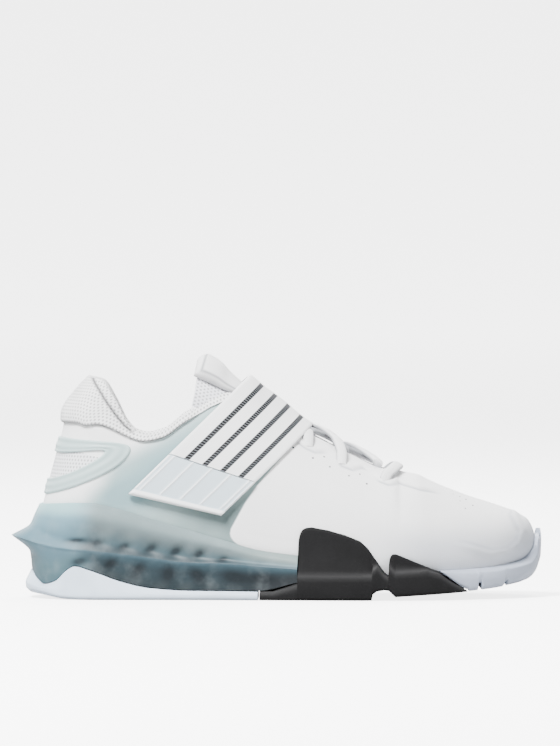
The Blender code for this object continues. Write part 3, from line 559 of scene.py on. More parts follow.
def piece(
    name: str,
    grids: list[Array],
    loop_rows: bool = False,
    loop_columns: bool = False,
    caps: bool = False,
    marks: dict[str, Array] | None = None,
    sharp: float = 50.0,
) -> bpy.types.Object:
    """Makes one closed mesh from grids of points.

    Args:
        name: The piece's name.
        grids: Arrays of rows by columns by 3, all of one size where marks are given.
        loop_rows: Whether the last row meets the first.
        loop_columns: Whether the last column meets the first.
        caps: Whether the first and last rows are closed with one face each.
        marks: Values for each point, one number or four, kept as attributes by name.
        sharp: Angle over which an edge stays sharp, in degrees.

    Returns:
        The new object.
    """
    points, faces, start = [], [], 0
    for grid in grids:
        rows, columns = grid.shape[:2]
        faces.extend((quads(rows, columns, loop_rows, loop_columns) + start).tolist())
        if caps:
            faces.append(list(range(start, start + columns)))
            faces.append(list(range(start + (rows - 1) * columns, start + rows * columns)))
        points.append(grid.reshape(-1, 3))
        start += rows * columns
    mesh = bpy.data.meshes.new(name)
    mesh.from_pydata(np.concatenate(points).tolist(), [], faces)
    for title, values in (marks or {}).items():
        flat = np.asarray(values, dtype=np.float32)
        colour = flat.ndim > 2
        layer = mesh.attributes.new(title, "FLOAT_COLOR" if colour else "FLOAT", "POINT")
        layer.data.foreach_set("color" if colour else "value", flat.ravel())
    body = bmesh.new()
    body.from_mesh(mesh)
    bmesh.ops.remove_doubles(body, verts=body.verts, dist=WELD)
    bmesh.ops.recalc_face_normals(body, faces=body.faces)
    body.to_mesh(mesh)
    body.free()
    mesh.shade_smooth()
    mesh.set_sharp_from_angle(angle=np.radians(sharp))
    item = bpy.data.objects.new(name, mesh)
    bpy.context.collection.objects.link(item)
    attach(item, "root")
    return item


class Socket:
    """A shader value that takes part in plain arithmetic: each operator adds one Math node."""

    def __init__(self, graph: "Graph", link: bpy.types.NodeSocket) -> None:
        """Keeps the graph and the output socket."""
        self.graph, self.link = graph, link

    def _math(self, operation: str, first: object, second: object = 0.0) -> "Socket":
        """Adds a Math node on two values or sockets."""
        return self.graph.node("ShaderNodeMath", {"operation": operation}, {0: first, 1: second})

    def __add__(self, other: object) -> "Socket":
        """Sum."""
        return self._math("ADD", self, other)

    __radd__ = __add__

    def __sub__(self, other: object) -> "Socket":
        """Difference."""
        return self._math("SUBTRACT", self, other)

    def __rsub__(self, other: object) -> "Socket":
        """Difference from a number."""
        return self._math("SUBTRACT", other, self)

    def __mul__(self, other: object) -> "Socket":
        """Product."""
        return self._math("MULTIPLY", self, other)

    __rmul__ = __mul__

    def __truediv__(self, other: object) -> "Socket":
        """Quotient."""
        return self._math("DIVIDE", self, other)

    def less(self, other: object) -> "Socket":
        """1 where this is below the other."""
        return self._math("LESS_THAN", self, other)

    def above(self, other: object) -> "Socket":
        """1 where this is over the other."""
        return self._math("GREATER_THAN", self, other)

    def cycle(self, period: float) -> "Socket":
        """Distance from the nearest multiple of a period."""
        return self._math("PINGPONG", self, period / 2)

    def size(self) -> "Socket":
        """Absolute value."""
        return self._math("ABSOLUTE", self)

    def step(self, low: float, high: float) -> "Socket":
        """0 below low and 1 above high, eased between."""
        kind = {"interpolation_type": "SMOOTHSTEP"}
        return self.graph.node("ShaderNodeMapRange", kind, {"Value": self, "From Min": low, "From Max": high})


class Graph:
    """The node tree of one finish."""

    def __init__(self, name: str) -> None:
        """Starts an empty material with a Principled shader."""
        self.material = bpy.data.materials.new(name)
        self.material.use_nodes = True
        self.tree = self.material.node_tree
        self.shader = self.tree.nodes["Principled BSDF"]

    def node(
        self, kind: str, settings: dict[str, object], values: dict[object, object], out: object = 0
    ) -> Socket:
        """Adds any node.

        Args:
            kind: The node's type.
            settings: Its own properties, set first.
            values: Values or links of its sockets, by name or number.
            out: The output wanted, by name or number.

        Returns:
            That output.
        """
        item = self.tree.nodes.new(kind)
        for key, value in settings.items():
            setattr(item, key, value)
        for key, value in values.items():
            self.feed(item.inputs[key], value)
        return Socket(self, item.outputs[out])

    def feed(self, socket: bpy.types.NodeSocket, value: object) -> None:
        """Links a socket, or sets its value.

        Args:
            socket: The input.
            value: A Socket, a number, or three numbers for a colour.
        """
        if isinstance(value, Socket):
            self.tree.links.new(value.link, socket)
        elif isinstance(value, tuple) and len(value) == 3 and socket.type == "RGBA":
            socket.default_value = (*value, 1.0)
        else:
            socket.default_value = value

    def mark(self, name: str, colour: bool = False) -> Socket:
        """Reads an attribute of the mesh."""
        return self.node("ShaderNodeAttribute", {"attribute_name": name}, {}, "Color" if colour else "Fac")

    def mix(self, factor: object, first: object, second: object) -> Socket:
        """Mixes two colours.

        Args:
            factor: Share of the second.
            first: Colour at 0.
            second: Colour at 1.

        Returns:
            The mix.
        """
        item = self.tree.nodes.new("ShaderNodeMix")
        item.data_type = "RGBA"
        self.feed(item.inputs[0], factor)
        self.feed(item.inputs[6], first)
        self.feed(item.inputs[7], second)
        return Socket(self, item.outputs[2])

    def noise(self, scale: float, detail: float = 2.0) -> Socket:
        """Noise on object coordinates, with scale in features per metre."""
        place = self.node("ShaderNodeTexCoord", {}, {}, "Object")
        return self.node("ShaderNodeTexNoise", {}, {"Vector": place, "Scale": scale, "Detail": detail})

    def bump(self, height: Socket, strength: float, distance: float) -> Socket:
        """Bump from a height, feeding the normal."""
        return self.node("ShaderNodeBump", {}, {"Height": height, "Strength": strength, "Distance": distance})

    def holes(self, u: Socket, v: Socket, pitch: float, core: float) -> Socket:
        """Staggered rows of oval holes: 1 in a hole, by a sum of squared distances from the nearest centre.

        Args:
            u: Metres along the rows.
            v: Metres across them.
            pitch: Distance between holes.
            core: Size of the part that is fully dark.

        Returns:
            The cover.
        """
        odd = (v / (2 * pitch)).cycle(1.0).step(0.24, 0.26)
        first = u.cycle(pitch) / pitch
        second = (u + pitch / 2).cycle(pitch) / pitch
        across = first + (second - first) * odd
        rise = v.cycle(pitch) / pitch
        return 1.0 - (across * across * 4 + rise * rise * 2.6).step(core, 0.42)

    def finish(self, constants: dict[str, object], **links: Socket) -> bpy.types.Material:
        """Sets the shader's plain values and its links.

        Args:
            constants: Values by socket name, set on the shader itself.
            links: Sockets by name, with _ for a blank.

        Returns:
            The material.
        """
        for key, value in constants.items():
            self.feed(self.shader.inputs[key], value)
        for key, value in links.items():
            self.feed(self.shader.inputs[key.replace("_", " ")], value)
        return self.material


class Weave(Enum):
    """How a cloth's surface is built: pitch of its holes or yarns in metres, and depth."""

    SPACER = (0.0021, 0.55)
    FINE = (0.0011, 0.16)
    WEBBING = (0.0009, 0.22)


@dataclass(frozen=True)
class Cloth:
    """White textile. Its pattern lies on the around and up attributes, which hold metres over the surface."""

    name: str
    weave: Weave
    colour: Colour
    hole: Colour
    roughness: float = 0.85
    shaded: bool = False

    def dress(self) -> bpy.types.Material:
        """Makes the material: open spacer mesh has staggered rows of dark holes, the others crossed yarns.

        Returns:
            The material.
        """
        graph = Graph(self.name)
        pitch, depth = self.weave.value
        u, v = graph.mark("around"), graph.mark("up")
        if self.weave is Weave.SPACER:
            hole = graph.holes(u, v, pitch, 0.10)
        else:
            hole = ((u.cycle(pitch) / pitch * 2) * (v.cycle(pitch) / pitch * 2)).step(0.1, 0.9) * 0.5
        grain = graph.noise(900.0)
        base = graph.mix(hole * depth, self.colour, self.hole)
        shade = graph.mix(graph.noise(60.0).step(0.3, 0.7) * 0.12, base, self.hole)
        height = (1.0 - hole) + grain * 0.25
        # painted shade: where shaded is set, the shade attribute darkens the cloth towards the hole colour
        if self.shaded:
            shade = graph.mix(graph.mark("shade"), shade, self.hole)
        return graph.finish(
            {"Specular IOR Level": 0.12, "Roughness": self.roughness},
            Base_Color=shade,
            Normal=graph.bump(height, 0.5, 0.0004),
        )


@dataclass(frozen=True)
class Moulded:
    """Rubber or plastic of one colour, with a fine moulded grain."""

    name: str
    colour: Colour
    worn: Colour
    roughness: float
    coat: float = 0.0
    grain: float = 0.12
    scale: float = 1500.0
    shine: float = 0.25
    # crease: colour of painted light along the shade attribute (heel plate: shadow; forefoot: highlight)
    crease: Colour | None = None

    def dress(self) -> bpy.types.Material:
        """Makes the material: slow patches of tone, a grain in bump and roughness, and painted light.

        Returns:
            The material.
        """
        graph = Graph(self.name)
        slow, fine = graph.noise(35.0, 3.0), graph.noise(self.scale)
        colour = graph.mix(slow.step(0.35, 0.75) * 0.5, self.colour, self.worn)
        if self.crease:
            colour = graph.mix(graph.mark("shade") * 0.7, colour, self.crease)
        return graph.finish(
            {"Coat Weight": self.coat, "Coat Roughness": 0.2, "Specular IOR Level": self.shine},
            Base_Color=colour,
            Roughness=fine * 0.12 + (self.roughness - 0.06),
            Normal=graph.bump(fine, self.grain, 0.0002),
        )


@dataclass(frozen=True)
class Tinted:
    """Tinted clear plastic or film whose colour the mesh carries in its tint attribute."""

    name: str
    roughness: float
    coat: float
    grain: float = 0.05

    def dress(self) -> bpy.types.Material:
        """Makes the material: the mesh's colour and painted shade, clouded a little, under a thin clear coat.

        Returns:
            The material.
        """
        graph = Graph(self.name)
        cloud = graph.noise(90.0, 3.0)
        tint_and_shade = graph.mark("tint_and_shade", colour=True)
        colour = graph.mix(cloud.step(0.45, 0.8) * 0.06, tint_and_shade, (0.55, 0.62, 0.64))
        return graph.finish(
            {"Coat Weight": self.coat, "Coat Roughness": 0.15, "Specular IOR Level": 0.2},
            Base_Color=colour,
            Roughness=cloud * 0.1 + (self.roughness - 0.05),
            Normal=graph.bump(graph.noise(1200.0), self.grain, 0.0002),
        )


@dataclass(frozen=True)
class Shell:
    """The upper's finish: fine mesh under a satin film, spacer mesh in the heel window, and a grey lining."""

    name: str = "upper_mesh_and_film"
    hole: Colour = (0.10, 0.10, 0.11)

    def dress(self) -> bpy.types.Material:
        """Makes the material from the mesh's attributes.

        tint_and_shade is the film's colour and panel_tint_and_shade the panel's, both with painted shade;
        panel and window are distances inside the edges of the white panel and of the heel's window,
        and around and up are metres over the surface.

        Returns:
            The material.
        """
        graph = Graph(self.name)
        u, v = graph.mark("around"), graph.mark("up")
        panel = graph.mark("panel").step(-0.15, 0.15)
        window = graph.mark("window").step(-0.15, 0.15)
        fine, open_mesh = Weave.FINE.value[0], Weave.SPACER.value[0]
        yarn = (u.cycle(fine) / fine * 2) * (v.cycle(fine) / fine * 2)
        hole = graph.holes(u, v, open_mesh, 0.08) * window
        tint_and_shade = graph.mark("tint_and_shade", colour=True)
        cloth = graph.mix(yarn.step(0.3, 1.0) * 0.10, graph.mark("panel_tint_and_shade", colour=True), self.hole)
        body = graph.mix(panel, tint_and_shade, cloth)
        # painted shade: a dark line along the panel's edge, at its step over the film
        edge = graph.mark("panel").size().step(0.0, 0.45)
        seam = graph.mix(1.0 - edge, body, (0.42, 0.47, 0.48))
        knit = graph.mix(window, seam, (0.78, 0.79, 0.81))
        colour = graph.mix(hole * 0.6, knit, self.hole)
        height = yarn.step(0.3, 1.0) * -0.5 * panel + (1.0 - hole) * 2.0 * window + graph.noise(700.0) * 0.4
        return graph.finish(
            {"Specular IOR Level": 0.12},
            Base_Color=colour,
            Roughness=(panel * 0.22 + 0.42) + window * 0.3,
            Normal=graph.bump(height, 0.35, 0.0003),
        )


def tone(red: float, green: float, blue: float) -> Colour:
    """Turns screen values from 0 to 255 into surface colours.

    It undoes the picture's tone curve, by a table of light levels, and divides by the light on a wall.

    Args:
        red: Red on screen.
        green: Green on screen.
        blue: Blue on screen.

    Returns:
        The colour.
    """
    screen = (0, 18, 32, 58, 76, 96, 118, 136, 153, 170, 184, 197, 207, 217, 225, 233, 239)
    light = (0.001, 0.01, 0.02, 0.05, 0.08, 0.12, 0.18, 0.25, 0.35, 0.5, 0.7, 1.0, 1.4, 2.0, 2.8, 4.0, 5.6)
    level = np.exp(np.interp([red, green, blue], screen, np.log(light))) / STUDIO_LIGHT
    return tuple(float(value) for value in np.minimum(level, WHITEST))


def paint(shape: tuple[int, ...], *layers: tuple[Colour, object]) -> Array:
    """Lays colours over each other.

    Args:
        shape: Rows and columns of the surface.
        layers: Colour and cover, from 0 to 1, of each layer, the lowest first.

    Returns:
        An array of rows by columns by 4.
    """
    result = np.ones((*shape, 4))
    for colour, cover in layers:
        cover = np.broadcast_to(cover, shape)[..., None]
        result[..., :3] = result[..., :3] * (1 - cover) + np.array(colour) * cover
    return result


def travel(grid: Array, axis: int) -> Array:
    """Length over a surface along one axis of its grid, summed from point to point.

    Args:
        grid: Points.
        axis: The axis to sum along.

    Returns:
        Metres from the first point of each line.
    """
    steps = np.linalg.norm(np.diff(grid, axis=axis), axis=-1)
    first = np.zeros_like(np.take(steps, [0], axis))
    return np.concatenate([first, np.cumsum(steps, axis)], axis)


WHITE = tone(236, 238, 241)
FILM_DEEP = tone(186, 201, 203)
FILM_PALE = tone(203, 211, 211)


@dataclass
class Upper:
    """The upper's wall: film at the quarter, mesh panel ahead of it, window at the heel, and its lining."""

    form: ShoeForm
    columns: int = 640
    rows: int = 100
    lining_rows: int = 24
    lower_rows: int = 8
    girth_column: int = 40
    panel_step: float = 0.0004
    panel_line: tuple[tuple[float, float], ...] = (
        (150.0, -22.0), (30.0, 22.5), (12.5, 24.5), (0.0, 25.8), (-12.8, 27.8), (-18.5, 29.2),
        (-22.5, 31.2), (-25.4, 33.8), (-26.6, 36.5), (-26.0, 39.8), (-23.0, 45.3), (-18.0, 54.3),
        (-11.5, 64.0), (17.0, 97.0), (60.0, 140.0),
    )
    window_line: tuple[tuple[float, float], ...] = (
        (-140.0, 80.0), (-125.0, 80.4), (-117.5, 82.6), (-109.0, 81.8), (-99.5, 79.3), (-96.8, 77.6),
        (-99.0, 75.0), (-104.0, 71.6), (-112.7, 68.2), (-118.6, 66.8), (-128.0, 68.2), (-140.0, 69.0),
    )
    film_line: tuple[tuple[float, float], ...] = (
        (-128.0, 50.0), (-110.0, 56.0), (-100.0, 66.0), (-94.0, 80.0), (-84.0, 84.0), (-68.0, 92.0),
        (-40.0, 114.0),
    )
    eyestay_line: tuple[tuple[float, float], ...] = (
        (8.0, 90.0), (16.0, 84.5), (21.4, 82.0), (30.0, 82.0), (33.0, 79.0), (35.8, 74.6), (42.5, 72.0),
        (47.6, 73.2), (52.0, 71.0), (56.6, 66.2), (62.7, 64.0), (68.7, 64.7), (80.0, 61.0), (92.0, 58.3),
    )
    toe_line: tuple[tuple[float, float], ...] = (
        (92.0, 33.0), (107.0, 29.6), (120.0, 25.6), (130.0, 26.6), (135.5, 31.5), (137.2, 37.7),
        (133.0, 45.7),
    )

    def relief(self, x: Array, z: Array, up: Array) -> Array:
        """Height of the surface's relief in metres.

        The panel stands a step over the film, a faint line runs inside its edge, the eyestay has a scalloped
        groove, the toe a soft ridge, and three shallow troughs cross the flex of the forefoot.

        Args:
            x: Places along the shoe, in mm.
            z: Heights, in mm.
            up: Metres up the wall.

        Returns:
            The heights.
        """
        inside = side_of(x, z, self.panel_line)
        step = self.panel_step * smooth(-0.5, 0.5, inside)
        inner = -0.00012 * np.exp(-(((inside - 8.0) / 0.6) ** 2)) * (1 - smooth(8, 30, x))
        stay = side_of(x, z, self.eyestay_line)
        reach = (0.15 + 0.85 * self.scallops(x)) * smooth(4, 12, x) * (1 - smooth(84, 94, x)) * (up > 0)
        cut, bank = np.exp(-((stay / 0.8) ** 2)), np.exp(-(((stay + 1.7) / 1.1) ** 2))
        groove = (-0.00050 * cut + 0.00035 * bank) * reach
        toe = side_of(x, z, self.toe_line)
        ridge = 0.00090 * np.exp(-((toe / 2.4) ** 2)) * smooth(96, 112, x)
        creases = sum(
            -depth * np.exp(-(((x - place - 0.22 * (z - 40)) / width) ** 2)) * smooth(24, 44, z)
            for place, width, depth in ((66.0, 4.2, 0.00014), (76.0, 3.6, 0.00010), (88.0, 4.6, 0.00012))
        )
        swell = 0.00025 * np.sin(x / 9.0 + z / 13.0) * np.sin(z / 7.5) * smooth(-20, 30, x)
        return step + inner + groove + ridge + creases + swell

    def tint_and_shade(self, x: Array, z: Array) -> Array:
        """Colour of the film: white at the counter, grey green over the wedge, teal beside the strap.

        Args:
            x: Places along the shoe, in mm.
            z: Heights, in mm.

        Returns:
            The colours.
        """
        film = smooth(-6.0, 10.0, side_of(x, z, self.film_line))
        deep = blob(x, z, (-66.0, 74.0), (20.0, 22.0), 0.8)
        deep = deep + 0.8 * blob(x, z, (-88.0, 58.0), (18.0, 9.0), 0.5)
        # painted shadow: shade darkens the film under the strap's end and beside the panel's front
        shade = blob(x, z, (-32.0, 46.0), (30.0, 13.0), -0.2)
        shade = shade + 0.7 * blob(x, z, (-12.0, 54.0), (9.0, 20.0), 0.5)
        streaks = (0.5 + 0.5 * np.cos(2 * np.pi * (x - 0.45 * z + 3) / 13.9)) * (1 - smooth(30, 56, z))
        low = 1 - smooth(28, 36, z)
        return paint(
            x.shape,
            (WHITE, 1.0),
            (FILM_PALE, film),
            (FILM_DEEP, np.clip(film * deep, 0, 1)),
            (tone(168, 188, 192), np.clip(film * streaks * 0.22, 0, 1)),
            (tone(160, 174, 174), np.clip(film * shade * 0.9, 0, 1)),
            (tone(176, 188, 187), film * low * 0.6),
        )

    def panel_tint_and_shade(self, x: Array, z: Array) -> Array:
        """Colour of the mesh panel: white, painted shade near the sole, at the toe and in its embossed lines.

        Args:
            x: Places along the shoe, in mm.
            z: Heights, in mm.

        Returns:
            The colours.
        """
        # painted shade near the sole and toe's end, and in the eyestay's groove and beside the toe's ridge
        low = (1 - smooth(2.0, 22.0, z - 26.0)) * smooth(30.0, 90.0, x)
        stay = np.exp(-((side_of(x, z, self.eyestay_line) / 0.55) ** 2)) * self.scallops(x)
        arc = np.exp(-(((side_of(x, z, self.toe_line) + 2.2) / 1.2) ** 2)) * smooth(96, 112, x)
        return paint(
            x.shape,
            (tone(229, 231, 233), 1.0),
            (tone(212, 214, 217), np.clip(0.7 * low + 0.3 * smooth(122.0, 140.0, x), 0, 1)),
            (tone(194, 197, 202), np.clip(0.6 * stay + 0.4 * arc, 0, 1)),
        )

    def scallops(self, x: Array) -> Array:
        """Where the embossed line under the eyelets shows: a short piece under each, the last one long."""
        first = smooth(9, 13, x) * (1 - smooth(24, 29, x))
        second = smooth(32, 36, x) * (1 - smooth(47, 52, x))
        return np.clip(first + second + smooth(54, 58, x) * (1 - smooth(84, 94, x)), 0, 1)

    def build(self) -> bpy.types.Object:
        """Makes the wall as one closed ring of outer and inner grids, with its attributes.

        Returns:
            The piece.
        """
        form = self.form
        a = np.linspace(-1, 1, self.columns, endpoint=False)[:, None]
        below = np.linspace(-1, 0, self.lower_rows, endpoint=False)
        v = np.concatenate([below, np.linspace(0, 1, self.rows - self.lower_rows)])[None, :]
        base = form.place(form.face(a, v))
        normal = normals_of(base, True)
        x, z = form.side_view(base)
        up = travel(base, 1)
        outer = base + normal * self.relief(x, z, up)[..., None]
        deep_v = np.linspace(1, -1, self.lining_rows)[None, :]
        deep = form.place(form.face(a, deep_v))
        inner = deep - normals_of(deep[:, ::-1], True)[:, ::-1] * form.wall_at(a, deep_v)[..., None]
        crest = (outer[:, -1:] + inner[:, :1]) / 2 + np.array([0, 0, 0.25 * form.wall])
        loops = np.concatenate([outer, crest, inner], 1)
        extra = loops.shape[1] - outer.shape[1]
        around = np.broadcast_to(travel(base[:, [self.girth_column]], 0), base.shape[:2])

        def over(values: Array, fill: float) -> Array:
            """Adds the lining's columns, all of one value."""
            return np.concatenate([values, np.full((*values.shape[:1], extra, *values.shape[2:]), fill)], 1)

        marks = {
            "around": over(around, 0.0),
            "up": over(up, 0.0),
            "panel": over(side_of(x, z, self.panel_line), -9.0),
            "window": over(side_of(x, z, self.window_line, closed=True), -9.0),
            "tint_and_shade": over(self.tint_and_shade(x, z), 0.42),
            "panel_tint_and_shade": over(self.panel_tint_and_shade(x, z), 0.7),
        }
        shell = piece("upper_shell", [loops], loop_rows=True, loop_columns=True, marks=marks)
        shell.data.materials.append(Shell().dress())
        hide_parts("upper")
        return shell


@dataclass
class Collar:
    """Padded mesh cuff of the heel and the knit binding that runs on along the collar's edge."""

    form: ShoeForm
    columns: int = 300
    reach: float = 0.47
    pad: float = 0.0019
    under_strap: float = 0.0007
    seat: float = 0.0003
    girth_column: int = 20
    drop: dict[str, Array] = field(default_factory=lambda: table(
        "along drop",
        (0.0, 0.206), (0.05, 0.180), (0.081, 0.110), (0.119, 0.042), (0.15, 0.025), (0.40, 0.025),
    ))
    seam_line: tuple[tuple[float, float], ...] = (
        (-104.5, 126.0), (-101.5, 119.5), (-96.5, 111.0), (-91.0, 103.0), (-86.0, 97.0), (-80.0, 92.0),
    )

    def build(self) -> bpy.types.Object:
        """Makes the cuff: outer face, fold over the rim and lap on the lining, swelled by a profile.

        Returns:
            The piece.
        """
        form = self.form
        a = np.linspace(-self.reach, self.reach, self.columns)[:, None]
        fall = read(self.drop, "drop", share(a)) * form.collar
        start = form.row_at(a, read(form.rim, "height", share(a)) * form.collar - fall)
        rise = np.concatenate([np.linspace(0, 0.06, 4, endpoint=False), np.linspace(0.06, 1, 40)])[None, :]
        v = start + (1 - start) * rise
        face = form.place(form.face(a, v))
        normal = normals_of(face)
        x, z = form.side_view(face)
        seam = np.exp(-((side_of(x, z, self.seam_line) / 0.8) ** 2)) * (1 - smooth(-84, -78, x))
        thin = smooth(-52, -42, x)
        full = self.pad * (1 - thin) + self.under_strap * thin
        swell = full * cap(rise, 0.09) * (1 - 0.12 * rise) - 0.0009 * seam * smooth(0.05, 0.2, rise)
        outside = face + normal * (self.seat + swell)[..., None]
        lap_v = np.linspace(1, 0, 14)[None, :] * (1 - start) * 0.34 + start + (1 - start) * 0.66
        lap = form.place(form.face(a, lap_v))
        lap_normal = normals_of(lap[:, ::-1])[:, ::-1]
        lining = lap - lap_normal * (form.wall_at(a, lap_v) + self.seat)[..., None]
        inside = lining - lap_normal * (0.0014 * cap(np.linspace(1, 0, 14)[None, :], 0.5))[..., None]
        over = (outside[:, -1:] + inside[:, :1]) / 2 + np.array([0, 0, 0.0022])
        over = over - np.array([0, 0, 0.0010]) * thin[:, -1:, None]
        fold = through(np.concatenate([outside[:, -2:], over, inside[:, :2]], 1), 13)[:, 3:-3]
        lift = np.array([0, 0, 0.0004])
        seat_face = face[:, ::-1] + normal[:, ::-1] * self.seat
        loops = np.concatenate([outside, fold, inside, lining[:, ::-1], lining[:, :1] + lift, seat_face], 1)
        around = np.broadcast_to(travel(loops[:, [self.girth_column]], 0), loops.shape[:2])
        # painted shade: darker in the seam's groove and along the cuff's lower edge
        drawn = np.clip(0.9 * seam * smooth(0.05, 0.2, rise) + 0.8 * (1 - smooth(0.0, 0.07, rise)), 0, 1)
        rest = np.zeros((loops.shape[0], loops.shape[1] - drawn.shape[1]))
        marks = {"around": around, "up": travel(loops, 1), "shade": np.concatenate([drawn, rest], 1)}
        cuff = piece("collar_pad", [loops], loop_columns=True, caps=True, marks=marks, sharp=70.0)
        cloth = Cloth("spacer_knit", Weave.SPACER, tone(228, 228, 229), tone(122, 123, 126), shaded=True)
        cuff.data.materials.append(cloth.dress())
        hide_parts("collar_cuff")
        return cuff


@dataclass
class HeelFrame:
    """Raised pale overlay round the heel's mesh window."""

    form: ShoeForm
    turns: int = 260
    lines: int = 22
    narrow: float = 0.66
    rise: float = 0.0013

    def build(self) -> bpy.types.Object:
        """Makes the band: an oval on the wall whose cross section is two soft ribs with a hollow between.

        Returns:
            The piece.
        """
        form = self.form
        theta = np.linspace(0, 2 * np.pi, self.turns, endpoint=False)[:, None]
        scale = np.linspace(1.0, self.narrow, self.lines)[None, :]
        tip = np.abs(np.cos(theta))
        a = (0.105 + 0.156 * scale) * np.cos(theta)
        z = ((0.600 + 0.065 * tip**3) + 0.132 * scale**1.9 * np.sin(theta)) * form.collar
        face = form.place(form.face(a, form.row_at(a, z)))
        heart = np.array([form.heel_back + form.opening_set + 0.03, 0, 0.6 * form.collar])
        normal = normals_of(face, True)
        normal = normal * np.sign(np.sum(normal * (face - heart), -1, keepdims=True))
        across = (1.0 - scale) / (1.0 - self.narrow)
        profile = cap(across, 0.16) * cap(1 - across, 0.12) * (0.87 + 0.13 * np.cos(4 * np.pi * across))
        outside = face + normal * (0.0002 + self.rise * profile)[..., None]
        loops = np.concatenate([outside, (face + normal * 0.00005)[:, ::-1]], 1)
        # painted shade: the band darker in its low parts, between its rises
        deep = 0.5 - 0.5 * np.cos(4 * np.pi * across)
        tint_and_shade = paint((self.turns, self.lines), (tone(210, 217, 217), 1.0), (tone(192, 203, 203), deep * 0.4))
        marks = {"tint_and_shade": doubled(tint_and_shade)}
        band = piece("heel_overlay", [loops], loop_rows=True, loop_columns=True, marks=marks)
        band.data.materials.append(Tinted("heel_film", 0.4, 0.05).dress())
        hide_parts("heel_frame")
        return band


